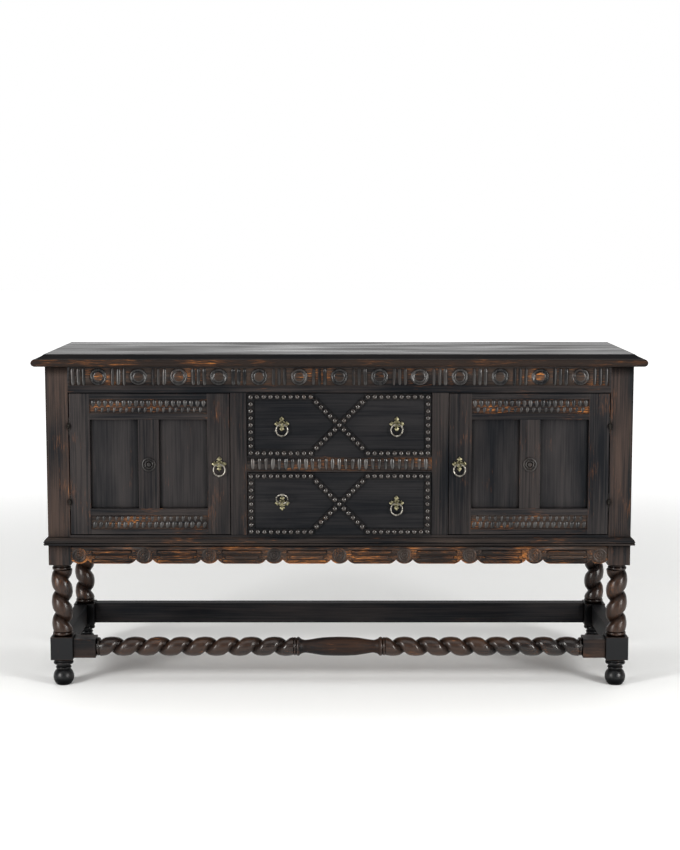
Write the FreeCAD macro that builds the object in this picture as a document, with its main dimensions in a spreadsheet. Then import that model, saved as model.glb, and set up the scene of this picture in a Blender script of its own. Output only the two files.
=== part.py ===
import FreeCAD, Part
import math
import os
from collections import namedtuple
from types import SimpleNamespace

import Sketcher
from FreeCAD import Placement, Rotation, Vector

# Ebonised oak buffet on barley-twist legs: two panelled doors, two beaded drawers, ring pulls.
# Millimetres. +X is right, +Y is back, +Z is up, and the origin is on the floor below the middle.

SIZES = {
    # Case
    "case_width": 1758,
    "case_depth": 524,
    "post_width": 67,
    "frieze_height": 80,
    "opening_height": 431,
    "base_rail_height": 31,
    "rail_thickness": 25,
    "side_rail_height": 70,
    "mullion_width": 50,
    "drawer_opening": 554,
    "drawer_rail_height": 48,
    "tenon_length": 30,
    "short_tenon": 18,
    "tenon_thickness": 8,
    "tenon_shoulder": 10,
    "thin_shoulder": 5,
    "panel_thickness": 8,
    "panel_recess": 9,
    "groove_depth": 8,
    "bottom_thickness": 18,
    "partition_thickness": 18,
    "shelf_thickness": 16,
    "shelf_rise": 205,
    "shelf_setback": 32,
    "shelf_clearance": 0.5,
    "shelf_pin_radius": 3,
    "shelf_pin_reach": 9,
    "runner_width": 24,
    "runner_height": 18,
    # Top
    "top_thickness": 36,
    "top_overhang": 36,
    "nose_radius": 11.5,
    "nose_quirk": 1,
    "edge_inset": 34.5,
    "edge_hollow": 0.8,
    # Waist moulding
    "waist_height": 23,
    "waist_projection": 13,
    "waist_bead_height": 7.5,
    "waist_bead_root": 9.5,
    "waist_bead_reach": 12.5,
    "waist_lip": 1.5,
    "waist_crown": 2.5,
    "waist_swell": 1.3,
    # Aprons
    "apron_height": 58,
    "apron_thickness": 22,
    "apron_setback": 3,
    "lobe_width": 51,
    "lobe_rise": 12.5,
    "flank_width": 20,
    "flank_swell": 2.6,
    # Legs
    "foot_height": 82,
    "lower_block_height": 70,
    "turned_height": 224,
    "block_drop": 4,
    "ball_radius": 31.5,
    "ball_centre": 24,
    "foot_neck_radius": 20.5,
    "foot_neck_length": 2,
    "foot_collar_radius": 23.8,
    "foot_collar_height": 7,
    "foot_bead_radius": 29,
    "foot_bead_height": 11,
    "lower_ring_height": 16,
    "lower_ring_radius": 30.5,
    "upper_ring_height": 19,
    "upper_ring_radius": 28.5,
    "upper_neck_radius": 25.5,
    "upper_neck_height": 8,
    "leg_crest_radius": 32,
    "leg_groove_depth": 13.5,
    "leg_swell": 2.2,
    "leg_twist_pitch": 67.5,
    # Stretchers
    "stretcher_end": 58,
    "stretcher_end_length": 69,
    "stretcher_tenon_height": 38,
    "stretcher_tenon_thickness": 14,
    "stretcher_crest_radius": 29.5,
    "stretcher_groove_depth": 14,
    "stretcher_swell": 2,
    "stretcher_twist_pitch": 71,
    "collar_length": 12,
    "collar_radius": 28,
    "collar_root_radius": 24,
    "vase_half_length": 103,
    "vase_radius": 29,
    "vase_neck_radius": 19.6,
    "vase_bead_length": 12,
    "vase_bead_radius": 29,
    "vase_cove_length": 17,
    "vase_ring_length": 9,
    "vase_ring_radius": 28,
    "vase_groove_radius": 25,
    "plain_stretcher_height": 66,
    "plain_stretcher_thickness": 40,
    "plain_stretcher_setback": 3,
    # Doors
    "door_thickness": 22,
    "door_gap": 1.5,
    "hinge_gap": 3,
    "stile_width": 68,
    "door_rail_height": 79,
    "muntin_width": 62,
    "door_pull_inset": 32,
    "door_pull_rise": 1,
    # Hinges and catches
    "leaf_thickness": 1.25,
    "leaf_depth": 18,
    "leaf_height": 50,
    "leaf_setback": 0.5,
    "barrel_radius": 4,
    "barrel_length": 5,
    "barrel_clearance": 0.3,
    "hinge_pin_radius": 1.75,
    "hinge_pin_clearance": 0.05,
    "hinge_tip_radius": 2.2,
    "hinge_inset": 99,
    "catch_width": 40,
    "catch_depth": 16,
    "catch_height": 24,
    "catch_drop": 14,
    "catch_inset": 8,
    "catch_gap": 0.5,
    # Drawers
    "drawer_gap": 2,
    "run_clearance": 0.3,
    "drawer_front_thickness": 22,
    "drawer_wall_thickness": 12,
    "drawer_back_clearance": 59,
    "drawer_wall_drop": 12,
    "drawer_bottom_thickness": 6,
    "drawer_bottom_rise": 10,
    "drawer_groove": 6,
    "drawer_pull_inset": 103,
    "drawer_pull_rise": 3,
    # Beading on the drawers
    "bead_strip_width": 19,
    "bead_strip_thickness": 3,
    "bead_radius": 8,
    "bead_height": 6,
    "bead_pitch": 20,
    # Pulls
    "plate_reach": 22.5,
    "plate_leaf": 7.7,
    "plate_boss_radius": 9,
    "plate_knob_radius": 11,
    "plate_thickness": 2.5,
    "eye_height": 10,
    "eye_radius": 5.6,
    "eye_bore_radius": 2.7,
    "eye_width": 6,
    "stem_radius": 2.5,
    "nut_radius": 5.5,
    "nut_height": 4,
    "ring_radius": 17.6,
    "ring_wire_radius": 2.1,
    "ring_knop_radius": 3.2,
    "ring_knop_end_radius": 2.8,
    "ring_knop_length": 8,
}

SCALLOP_COUNT = 9
LEG_GROOVE_BEARING = 128
STRETCHER_GROOVE_BEARING = -36
RAISED_RING_ANGLE = 147
HOLLOW_SHARE = 0.25
VASE_SHOULDER_SHARE = 0.8
VASE_SWELL_SHARE = 0.78
VASE_HOLLOW_SHARE = 0.2
SIDES = {"left": -1, "right": 1}
ENDS = {"front": -1, "rear": 1}
HANDS = {-1: "Left-handed", 1: "Right-handed"}


class Size:
    """A length that carries its value and the sheet expression that gives it."""

    def __init__(self, value, text):
        self.value = value
        self.text = text

    def __add__(self, other):
        return joined(self, "+", other, self.value + number(other))

    def __radd__(self, other):
        return joined(other, "+", self, number(other) + self.value)

    def __sub__(self, other):
        return joined(self, "-", other, self.value - number(other))

    def __rsub__(self, other):
        return joined(other, "-", self, number(other) - self.value)

    def __mul__(self, other):
        return joined(self, "*", other, self.value * number(other))

    def __rmul__(self, other):
        return joined(other, "*", self, number(other) * self.value)

    def __truediv__(self, other):
        return joined(self, "/", other, self.value / number(other))

    def __neg__(self):
        return Size(-self.value, f"(-1 * {self.text})")


def number(term):
    return term.value if isinstance(term, Size) else term


def words(term):
    return term.text if isinstance(term, Size) else f"({term})"


def joined(left, sign, right, value):
    return Size(value, f"({words(left)} {sign} {words(right)})")


def root(square):
    return Size(math.sqrt(square.value), f"sqrt({square.text})")


def between(start, end, share):
    """The length that lies a share of the way from start to end."""
    return start + (end - start) * share


def sheet_of_sizes(doc):
    """The driving dimensions as aliased cells, and a Size for each."""
    sheet = doc.addObject("Spreadsheet::Sheet", "sizes")
    for row, (alias, value) in enumerate(SIZES.items(), start=1):
        sheet.set(f"A{row}", alias)
        sheet.set(f"B{row}", str(value))
        sheet.setAlias(f"B{row}", alias)
    doc.recompute()
    return SimpleNamespace(**{name: Size(float(sheet.get(name)), f"sizes.{name}") for name in SIZES})


doc = FreeCAD.newDocument("buffet")
s = sheet_of_sizes(doc)
nodes = []

# Heights, depths and widths that the pieces share
lower_block_top = s.foot_height + s.lower_block_height
block_z = lower_block_top + s.turned_height
apron_z = block_z + s.block_drop
base_z = apron_z + s.apron_height
opening_z = base_z + s.base_rail_height
frieze_z = opening_z + s.opening_height
top_z = frieze_z + s.frieze_height
stretcher_z = s.foot_height + s.lower_block_height / 2
case_half = s.case_width / 2
post_inner = case_half - s.post_width
back_y = (s.case_depth + s.top_overhang) / 2
front_y = back_y - s.case_depth
inside_front = front_y + s.rail_thickness
inside_back = back_y - s.rail_thickness
top_half = case_half + s.top_overhang
drawer_half = s.drawer_opening / 2
mullion_outer = drawer_half + s.mullion_width
partition_outer = drawer_half + s.partition_thickness
drawer_space = (s.opening_height - s.drawer_rail_height) / 2
drawer_rail_z = opening_z + drawer_space
upper_drawer_z = drawer_rail_z + s.drawer_rail_height
panel_low = base_z + s.side_rail_height
panel_front = front_y + s.panel_recess
hinge_axis_x = post_inner - s.hinge_gap / 2
hinge_axis_y = front_y - s.barrel_radius - s.barrel_clearance


# Helpers that bind pieces to the sheet

def bind(target, prop, size):
    """Tie a property to the sheet; a plain zero leaves it as it is."""
    if isinstance(size, Size):
        target.setExpression(prop, size.text)


def set_down(piece, place):
    for axis, size in zip("xyz", place):
        bind(piece, f"Placement.Base.{axis}", size)
    return piece


def node(piece):
    """Keep a finished piece, which is written under its label."""
    nodes.append(piece)
    return piece


def box(label, low, high):
    """A board between its lowest and its highest corner."""
    board = doc.addObject("Part::Box", label)
    for prop, start, end in zip(("Length", "Width", "Height"), low, high):
        bind(board, prop, end - start)
    return set_down(board, low)


def cylinder(label, radius, length, place, axis=Vector(0, 0, 1)):
    rod = doc.addObject("Part::Cylinder", label)
    bind(rod, "Radius", radius)
    bind(rod, "Height", length)
    rod.Placement = Placement(Vector(), Rotation(Vector(0, 0, 1), axis))
    return set_down(rod, place)


def sphere(label, radius, place):
    ball = doc.addObject("Part::Sphere", label)
    bind(ball, "Radius", radius)
    return set_down(ball, place)


def fuse(label, *pieces):
    joint = doc.addObject("Part::MultiFuse", label)
    joint.Shapes = list(pieces)
    return joint


def cut(label, base, *tools):
    """The base with a seat cut in it for each of the tools."""
    piece = doc.addObject("Part::Cut", label)
    piece.Base = base
    piece.Tool = tools[0] if len(tools) == 1 else fuse(f"{label}_seats", *tools)
    return piece


def group(label, *pieces):
    """Like pieces that share a node and stay separate solids."""
    together = doc.addObject("Part::Compound", label)
    together.Links = list(pieces)
    return together


def across(side, near, far):
    """The low and high X of a piece that lies between two distances from the middle."""
    return (near, far) if side > 0 else (-far, -near)


def along_depth(end, near, far):
    """The low and high Y of a piece between two distances in from the front or the back face."""
    return (front_y + near, front_y + far) if end < 0 else (back_y - far, back_y - near)


def tenoned(label, low, high, along, thin, tenon, shoulder):
    """A rail with a tenon at both ends, and the tongue whose ends are those tenons."""
    tongue_low = list(low)
    tongue_high = list(high)
    tongue_low[along] = low[along] - tenon
    tongue_high[along] = high[along] + tenon
    middle = (low[thin] + high[thin]) / 2
    tongue_low[thin] = middle - s.tenon_thickness / 2
    tongue_high[thin] = middle + s.tenon_thickness / 2
    wide = 3 - along - thin
    tongue_low[wide] = low[wide] + shoulder
    tongue_high[wide] = high[wide] - shoulder
    tongue = box(f"{label}_tongue", tongue_low, tongue_high)
    return fuse(label, box(f"{label}_board", low, high), tongue), tongue


# Helpers that draw sketches and build features on them

Via = namedtuple("Via", "x y")
PLANES = {"XY": "XY_Plane", "XZ": "XZ_Plane", "YZ": "YZ_Plane"}


def new_body(label, place=(0, 0, 0)):
    return set_down(doc.addObject("PartDesign::Body", label), place)


def sketch_on(body, name, plane, lift=0, turn=0, slide=0, rise=0):
    """A sketch on one of the body's own planes, moved along it and turned about its normal."""
    sketch = body.newObject("Sketcher::SketchObject", name)
    face = next(item for item in body.Origin.OriginFeatures if item.Role == PLANES[plane])
    sketch.AttachmentSupport = [(face, "")]
    sketch.MapMode = "FlatFace"
    sketch.AttachmentOffset = Placement(Vector(), Rotation(Vector(0, 0, 1), turn))
    for axis, distance in zip("xyz", (slide, rise, lift)):
        bind(sketch, f"AttachmentOffset.Base.{axis}", distance)
    return sketch


def hold(sketch, kind, geometry, end, size, axis):
    """Fix one coordinate of a point: on the axis for zero, else by a bound distance."""
    if isinstance(size, Size):
        index = sketch.addConstraint(Sketcher.Constraint(kind, -1, 1, geometry, end, size.value))
        bind(sketch, f"Constraints[{index}]", size)
    else:
        sketch.addConstraint(Sketcher.Constraint("PointOnObject", geometry, end, axis))


def hold_point(sketch, geometry, end, x, y):
    hold(sketch, "DistanceX", geometry, end, x, -2)
    hold(sketch, "DistanceY", geometry, end, y, -1)


def flat(x, y):
    return Vector(number(x), number(y), 0)


def edge_between(sketch, start, via, end):
    """Add a line, or an arc through via; give its index and which ends are start and finish."""
    if via is None:
        return sketch.addGeometry(Part.LineSegment(flat(*start), flat(*end))), 1, 2
    first, middle, last = flat(*start), flat(*via), flat(*end)
    turns_left = (middle - first).cross(last - middle).z > 0
    if not turns_left:
        first, last = last, first
    arc = sketch.addGeometry(Part.Arc(first, middle, last))
    point = sketch.addGeometry(Part.Point(middle), True)
    hold_point(sketch, point, 1, *via)
    sketch.addConstraint(Sketcher.Constraint("PointOnObject", point, 1, arc))
    return (arc, 1, 2) if turns_left else (arc, 2, 1)


def outline(sketch, *path):
    """A closed outline through corners; a Via between two corners bends their edge to an arc."""
    corners = [item for item in path if not isinstance(item, Via)]
    bends = {}
    for before, item in zip(path, path[1:]):
        if isinstance(item, Via):
            bends[corners.index(before)] = item
    edges = []
    for index, corner in enumerate(corners):
        finish = corners[(index + 1) % len(corners)]
        edges.append(edge_between(sketch, corner, bends.get(index), finish))
    for index, (edge, start, _) in enumerate(edges):
        last_edge, _, last_end = edges[index - 1]
        sketch.addConstraint(Sketcher.Constraint("Coincident", last_edge, last_end, edge, start))
        hold_point(sketch, edge, start, *corners[index])
    return sketch


def rectangle(sketch, half_width, half_height):
    return outline(
        sketch,
        (-half_width, -half_height),
        (half_width, -half_height),
        (half_width, half_height),
        (-half_width, half_height),
    )


def circle(sketch, radius, x=0, y=0):
    ring = sketch.addGeometry(Part.Circle(flat(x, y), Vector(0, 0, 1), radius.value))
    hold_point(sketch, ring, 3, x, y)
    index = sketch.addConstraint(Sketcher.Constraint("Radius", ring, radius.value))
    bind(sketch, f"Constraints[{index}]", radius)
    return sketch


def pad(body, name, sketch, length, backwards=False):
    feature = body.newObject("PartDesign::Pad", name)
    feature.Profile = sketch
    feature.Reversed = backwards
    bind(feature, "Length", length)
    return feature


def revolve(body, name, sketch, axis):
    feature = body.newObject("PartDesign::Revolution", name)
    feature.Profile = sketch
    feature.ReferenceAxis = (sketch, [axis])
    feature.Angle = 360
    return feature


# The barley twist

def twist_section(sketch, crest, groove, swell):
    """One strand's section: a ridge that swells off the axis for half a turn, then in to a sharp groove."""
    floor = crest - groove
    ridge_radius = crest - swell
    run = floor + swell
    flank = (run * run + ridge_radius * ridge_radius) / (2 * ridge_radius)
    rise = ridge_radius - flank
    dip = math.atan2(rise.value, run.value)
    quarter = math.pi / 2
    up = Vector(0, 0, 1)
    ridge = Part.ArcOfCircle(Part.Circle(flat(swell, 0), up, ridge_radius.value), -quarter, quarter)
    upper = Part.ArcOfCircle(Part.Circle(flat(swell, rise), up, flank.value), quarter, math.pi + dip)
    lower = Part.ArcOfCircle(Part.Circle(flat(swell, -rise), up, flank.value), math.pi - dip, 3 * quarter)
    ridge, upper, lower = (sketch.addGeometry(arc) for arc in (ridge, upper, lower))
    for rule in (
        ("PointOnObject", ridge, 3, -1),
        ("Vertical", ridge, 3, ridge, 1),
        ("Vertical", ridge, 3, ridge, 2),
        ("Tangent", ridge, 2, upper, 1),
        ("Tangent", lower, 2, ridge, 1),
        ("Coincident", upper, 2, lower, 1),
        ("PointOnObject", upper, 2, -1),
    ):
        sketch.addConstraint(Sketcher.Constraint(*rule))
    index = sketch.addConstraint(Sketcher.Constraint("Radius", ridge, ridge_radius.value))
    bind(sketch, f"Constraints[{index}]", ridge_radius)
    for geometry, point, reach in ((ridge, 3, -swell), (upper, 2, floor)):
        rule = Sketcher.Constraint("DistanceX", geometry, point, -1, 1, reach.value)
        index = sketch.addConstraint(rule)
        bind(sketch, f"Constraints[{index}]", reach)
    return sketch


def guide_helix(label, hand, radius, pitch, length, start, axis):
    """The helix that turns the section as it travels along the axis."""
    helix = doc.addObject("Part::Helix", label)
    helix.LocalCoord = HANDS[hand]
    bind(helix, "Radius", radius)
    bind(helix, "Pitch", pitch)
    bind(helix, "Height", length)
    helix.Placement = Placement(Vector(), Rotation(Vector(0, 0, 1), axis))
    return set_down(helix, start)


def straight_path(body, name, plane, start, end):
    sketch = sketch_on(body, name, plane)
    line, first, last = edge_between(sketch, start, None, end)
    hold_point(sketch, line, first, *start)
    hold_point(sketch, line, last, *end)
    return sketch


def twisted(body, name, section, path, helix):
    pipe = body.newObject("PartDesign::AdditivePipe", name)
    pipe.Profile = section
    pipe.Spine = (path, ["Edge1"])
    pipe.Mode = "Auxiliary"
    pipe.AuxiliarySpine = (helix, ["Edge1"])
    return pipe


# Posts and legs

twist_z = lower_block_top + s.lower_ring_height
twist_top = block_z - s.upper_ring_height


def foot_outline(sketch):
    """Flattened ball, neck, collar, hollow and bead, up to the underside of the lower block."""
    square = s.ball_radius * s.ball_radius
    rest = root(square - s.ball_centre * s.ball_centre)
    ball_top = s.ball_centre + root(square - s.foot_neck_radius * s.foot_neck_radius)
    collar_z = ball_top + s.foot_neck_length
    collar_top = collar_z + s.foot_collar_height
    bead_z = s.foot_height - s.foot_bead_height
    bead_root = (s.foot_neck_radius + s.foot_bead_radius) / 2
    return outline(
        sketch,
        (0, 0),
        (rest, 0),
        Via(s.ball_radius, s.ball_centre),
        (s.foot_neck_radius, ball_top),
        (s.foot_neck_radius, collar_z),
        Via(s.foot_collar_radius, (collar_z + collar_top) / 2),
        (s.foot_neck_radius, collar_top),
        Via(between(s.foot_neck_radius, bead_root, HOLLOW_SHARE), (collar_top + bead_z) / 2),
        (bead_root, bead_z),
        Via(s.foot_bead_radius, (bead_z + s.foot_height) / 2),
        (bead_root, s.foot_height),
        (0, s.foot_height),
    )


def lower_ring_outline(sketch):
    """The bead that the twist runs out on, above the lower block."""
    inner = s.leg_crest_radius - s.leg_groove_depth / 2
    return outline(
        sketch,
        (0, lower_block_top),
        (inner, lower_block_top),
        Via(s.lower_ring_radius, lower_block_top + s.lower_ring_height / 2),
        (inner, twist_z),
        (0, twist_z),
    )


def upper_ring_outline(sketch):
    """The bead above the twist and the hollow neck under the upper block."""
    neck_z = block_z - s.upper_neck_height
    return outline(
        sketch,
        (0, twist_top),
        (s.upper_neck_radius, twist_top),
        Via(s.upper_ring_radius, (twist_top + neck_z) / 2),
        (s.upper_neck_radius, neck_z),
        Via(s.upper_neck_radius, (neck_z + block_z) / 2),
        (s.upper_ring_radius, block_z),
        (0, block_z),
    )


def turned_post(label, side, end):
    """A square post turned below the case: block, twist, block and ball foot."""
    x = side * (case_half - s.post_width / 2)
    y = front_y + s.post_width / 2 if end < 0 else back_y - s.post_width / 2
    post = new_body(f"{label}_turning", (x, y, 0))
    half = s.post_width / 2
    block = rectangle(sketch_on(post, f"{label}_block_square", "XY", block_z), half, half)
    pad(post, f"{label}_block", block, top_z - block_z)
    ring = upper_ring_outline(sketch_on(post, f"{label}_upper_ring_shape", "XZ"))
    revolve(post, f"{label}_upper_ring", ring, "V_Axis")
    bearing = LEG_GROOVE_BEARING if side < 0 else 180 - LEG_GROOVE_BEARING
    section = sketch_on(post, f"{label}_strand", "XY", twist_z, bearing - 180)
    twist_section(section, s.leg_crest_radius, s.leg_groove_depth, s.leg_swell)
    path = straight_path(post, f"{label}_axis", "XZ", (0, twist_z), (0, twist_top))
    twisted(post, f"{label}_twist", section, path, leg_helices[side])
    ring = lower_ring_outline(sketch_on(post, f"{label}_lower_ring_shape", "XZ"))
    revolve(post, f"{label}_lower_ring", ring, "V_Axis")
    square = rectangle(sketch_on(post, f"{label}_foot_square", "XY", s.foot_height), half, half)
    pad(post, f"{label}_lower_block", square, s.lower_block_height)
    foot = foot_outline(sketch_on(post, f"{label}_foot_shape", "XZ"))
    revolve(post, f"{label}_foot", foot, "V_Axis")
    return post


leg_helices = {
    side: guide_helix(
        f"{name}_leg_helix",
        side,
        s.leg_crest_radius,
        s.leg_twist_pitch,
        twist_top - twist_z,
        (0, 0, twist_z),
        Vector(0, 0, 1),
    )
    for name, side in SIDES.items()
}


# Rails that join the posts

def front_and_back_rails():
    """Rails of the front and back frames, with their tongues by name."""
    spans = {
        "frieze_rail": ("front", frieze_z, top_z, s.tenon_shoulder),
        "base_rail": ("front", base_z, opening_z, s.thin_shoulder),
        "upper_back_rail": ("rear", frieze_z, top_z, s.tenon_shoulder),
        "lower_back_rail": ("rear", base_z, panel_low, s.tenon_shoulder),
    }
    made = {}
    for name, (end, low, high, shoulder) in spans.items():
        y_low, y_high = along_depth(ENDS[end], 0, s.rail_thickness)
        corners = (-post_inner, y_low, low), (post_inner, y_high, high)
        made[name] = tenoned(f"{name}_blank", *corners, 0, 1, s.tenon_length, shoulder)
    return made


def side_rails(name, side):
    """Upper and lower rail of one side frame."""
    made = {}
    for level, low, high in (("upper", frieze_z, top_z), ("lower", base_z, panel_low)):
        x_low, x_high = across(side, case_half - s.rail_thickness, case_half)
        corners = (x_low, front_y + s.post_width, low), (x_high, back_y - s.post_width, high)
        label = f"{level}_{name}_side_rail"
        made[label] = tenoned(f"{label}_blank", *corners, 1, 0, s.tenon_length, s.tenon_shoulder)
    return made


def side_panel(name, side):
    x_low, x_high = across(
        side,
        case_half - s.panel_recess - s.panel_thickness,
        case_half - s.panel_recess,
    )
    return box(
        f"{name}_side_panel",
        (x_low, front_y + s.post_width - s.groove_depth, panel_low - s.groove_depth),
        (x_high, back_y - s.post_width + s.groove_depth, frieze_z + s.groove_depth),
    )


def apron_outline(sketch):
    """A board whose lower edge has a round lobe under each rosette, with a cusp either side of it."""
    half_lobe = s.lobe_width / 2
    pitch = (2 * post_inner - s.lobe_width) / (SCALLOP_COUNT - 1)
    path = [(post_inner, apron_z + s.apron_height), (-post_inner, apron_z + s.apron_height)]
    for index in range(SCALLOP_COUNT):
        middle = -post_inner + half_lobe + pitch * index
        flank = s.lobe_rise / 2 - s.flank_swell
        if index > 0:
            path.append((middle - half_lobe - s.flank_width, apron_z))
            path.append(Via(middle - half_lobe - s.flank_width / 2, apron_z + flank))
        path.append((middle - half_lobe, apron_z + s.lobe_rise))
        path.append(Via(middle, apron_z))
        path.append((middle + half_lobe, apron_z + s.lobe_rise))
        if index < SCALLOP_COUNT - 1:
            path.append(Via(middle + half_lobe + s.flank_width / 2, apron_z + flank))
            path.append((middle + half_lobe + s.flank_width, apron_z))
    return outline(sketch, *path)


def front_apron():
    """The scalloped apron, with a tenon at each end."""
    board = new_body("front_apron_scallops")
    face = sketch_on(board, "front_apron_outline", "XZ", -(front_y + s.apron_setback))
    pad(board, "front_apron_board", apron_outline(face), s.apron_thickness, backwards=True)
    reach = post_inner + s.tenon_length
    middle = front_y + s.apron_setback + s.apron_thickness / 2
    half = s.tenon_thickness / 2
    tongue_z = apron_z + s.lobe_rise + s.thin_shoulder
    tongue = box(
        "front_apron_tongue",
        (-reach, middle - half, tongue_z),
        (reach, middle + half, base_z - s.thin_shoulder),
    )
    return fuse("front_apron", board, tongue), tongue


def plain_aprons():
    """The straight aprons of the sides and the back."""
    near = s.apron_setback
    far = s.apron_setback + s.apron_thickness
    made = {}
    y_low, y_high = along_depth(1, near, far)
    corners = (-post_inner, y_low, apron_z + s.lobe_rise), (post_inner, y_high, base_z)
    made["rear_apron"] = tenoned("rear_apron", *corners, 0, 1, s.tenon_length, s.thin_shoulder)
    for name, side in SIDES.items():
        x_low, x_high = across(side, case_half - far, case_half - near)
        low = (x_low, front_y + s.post_width, apron_z + s.lobe_rise)
        high = (x_high, back_y - s.post_width, base_z)
        label = f"{name}_apron"
        made[label] = tenoned(label, low, high, 1, 0, s.tenon_length, s.thin_shoulder)
    return made


# Stretchers

post_axis_y = front_y + s.post_width / 2
twist_start = s.vase_half_length + s.vase_cove_length + s.vase_bead_length + s.vase_ring_length
block_start = post_inner - s.stretcher_end_length
twist_end = block_start - s.collar_length


def vase_outline(sketch):
    """Half section of the middle: a long vase between a hollow, a bead and a ring at each end."""
    neck = s.vase_half_length
    shoulder = neck / 2
    turn = (shoulder + neck) / 2
    bead = neck + s.vase_cove_length
    ring = bead + s.vase_bead_length
    shoulder_radius = between(s.vase_neck_radius, s.vase_radius, VASE_SHOULDER_SHARE)
    right = [
        (shoulder, shoulder_radius),
        Via((shoulder + turn) / 2, between(s.vase_neck_radius, shoulder_radius, VASE_SWELL_SHARE)),
        (turn, (s.vase_neck_radius + shoulder_radius) / 2),
        Via((turn + neck) / 2, between(s.vase_neck_radius, shoulder_radius, VASE_HOLLOW_SHARE)),
        (neck, s.vase_neck_radius),
        Via((neck + bead) / 2, between(s.vase_neck_radius, s.vase_groove_radius, HOLLOW_SHARE)),
        (bead, s.vase_groove_radius),
        Via((bead + ring) / 2, s.vase_bead_radius),
        (ring, s.vase_groove_radius),
        Via((ring + twist_start) / 2, s.vase_ring_radius),
        (twist_start, s.vase_groove_radius),
    ]
    left = [Via(-item.x, item.y) if isinstance(item, Via) else (-item[0], item[1]) for item in right]
    return outline(
        sketch,
        *reversed(left),
        Via(0, s.vase_radius),
        *right,
        (twist_start, 0),
        (-twist_start, 0),
    )


def collar_outline(sketch, side):
    """Half section of the bead between the twist and the square end."""
    return outline(
        sketch,
        (side * twist_end, 0),
        (side * twist_end, s.collar_root_radius),
        Via(side * (twist_end + block_start) / 2, s.collar_radius),
        (side * block_start, s.collar_root_radius),
        (side * block_start, 0),
    )


def front_stretcher():
    """The turned stretcher: a vase, two twists of opposite hand and square tenoned ends."""
    bar = new_body("front_stretcher_turning", (0, post_axis_y, stretcher_z))
    vase = vase_outline(sketch_on(bar, "vase_shape", "XZ"))
    revolve(bar, "vase", vase, "H_Axis")
    half_end = s.stretcher_end / 2
    half_thick = s.stretcher_tenon_thickness / 2
    half_high = s.stretcher_tenon_height / 2
    tongues = []
    for name, side in SIDES.items():
        section = sketch_on(
            bar,
            f"{name}_strand",
            "YZ",
            side * twist_start,
            STRETCHER_GROOVE_BEARING - 180,
        )
        twist_section(section, s.stretcher_crest_radius, s.stretcher_groove_depth, s.stretcher_swell)
        ends = (side * twist_start, 0), (side * twist_end, 0)
        path = straight_path(bar, f"{name}_twist_axis", "XZ", *ends)
        helix = guide_helix(
            f"{name}_stretcher_helix",
            side,
            s.stretcher_crest_radius,
            s.stretcher_twist_pitch,
            twist_end - twist_start,
            (side * twist_start, 0, 0),
            Vector(side, 0, 0),
        )
        twisted(bar, f"{name}_twist", section, path, helix)
        collar = collar_outline(sketch_on(bar, f"{name}_collar_shape", "XZ"), side)
        revolve(bar, f"{name}_collar", collar, "H_Axis")
        square = rectangle(
            sketch_on(bar, f"{name}_end_square", "YZ", side * block_start), half_end, half_end
        )
        pad(bar, f"{name}_end", square, s.stretcher_end_length, backwards=side < 0)
        x_low, x_high = across(side, block_start, post_inner + s.tenon_length)
        tongues.append(
            box(
                f"{name}_stretcher_tongue",
                (x_low, post_axis_y - half_thick, stretcher_z - half_high),
                (x_high, post_axis_y + half_thick, stretcher_z + half_high),
            )
        )
    return fuse("front_stretcher", bar, *tongues), tongues


def plain_stretchers():
    """The straight stretchers of the sides and the back."""
    near = s.plain_stretcher_setback
    far = near + s.plain_stretcher_thickness
    low_z = stretcher_z - s.plain_stretcher_height / 2
    high_z = stretcher_z + s.plain_stretcher_height / 2
    y_low, y_high = along_depth(1, near, far)
    corners = (-post_inner, y_low, low_z), (post_inner, y_high, high_z)
    made = {"rear_stretcher": tenoned("rear_stretcher", *corners, 0, 1, s.tenon_length, s.tenon_shoulder)}
    for name, side in SIDES.items():
        x_low, x_high = across(side, case_half - far, case_half - near)
        corners = (x_low, front_y + s.post_width, low_z), (x_high, back_y - s.post_width, high_z)
        label = f"{name}_stretcher"
        made[label] = tenoned(label, *corners, 1, 0, s.tenon_length, s.tenon_shoulder)
    return made


# Top and waist moulding

def top_edge(nose, inward):
    """From the underside: a round nose, a quirk and a shallow hollow up to the flat."""
    quirk = nose + inward * (s.nose_radius + s.nose_quirk)
    flat_start = nose + inward * s.edge_inset
    nose_top = 2 * s.nose_radius
    slope_middle = (quirk + flat_start) / 2
    slope_z = (nose_top + s.top_thickness) / 2
    return [
        (nose + inward * s.nose_radius, 0),
        Via(nose, s.nose_radius),
        (nose + inward * s.nose_radius, nose_top),
        (quirk, nose_top),
        Via(slope_middle + inward * s.edge_hollow, slope_z - s.edge_hollow),
        (flat_start, s.top_thickness),
    ]


def top_board():
    """The board is what two mouldings have in common: one run along it and one run across it."""
    nose_y = front_y - s.top_overhang
    lengthwise = new_body("top_lengthwise", (0, 0, top_z))
    section = outline(
        sketch_on(lengthwise, "top_front_section", "YZ", -top_half),
        *top_edge(nose_y, 1),
        (back_y, s.top_thickness),
        (back_y, 0),
    )
    pad(lengthwise, "top_length", section, 2 * top_half)
    crosswise = new_body("top_crosswise", (0, 0, top_z))
    section = outline(
        sketch_on(crosswise, "top_side_section", "XZ", -back_y),
        *top_edge(-top_half, 1),
        *reversed(top_edge(top_half, -1)),
    )
    pad(crosswise, "top_depth", section, back_y - nose_y)
    board = doc.addObject("Part::MultiCommon", "top_board")
    board.Shapes = [lengthwise, crosswise]
    return board


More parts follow.
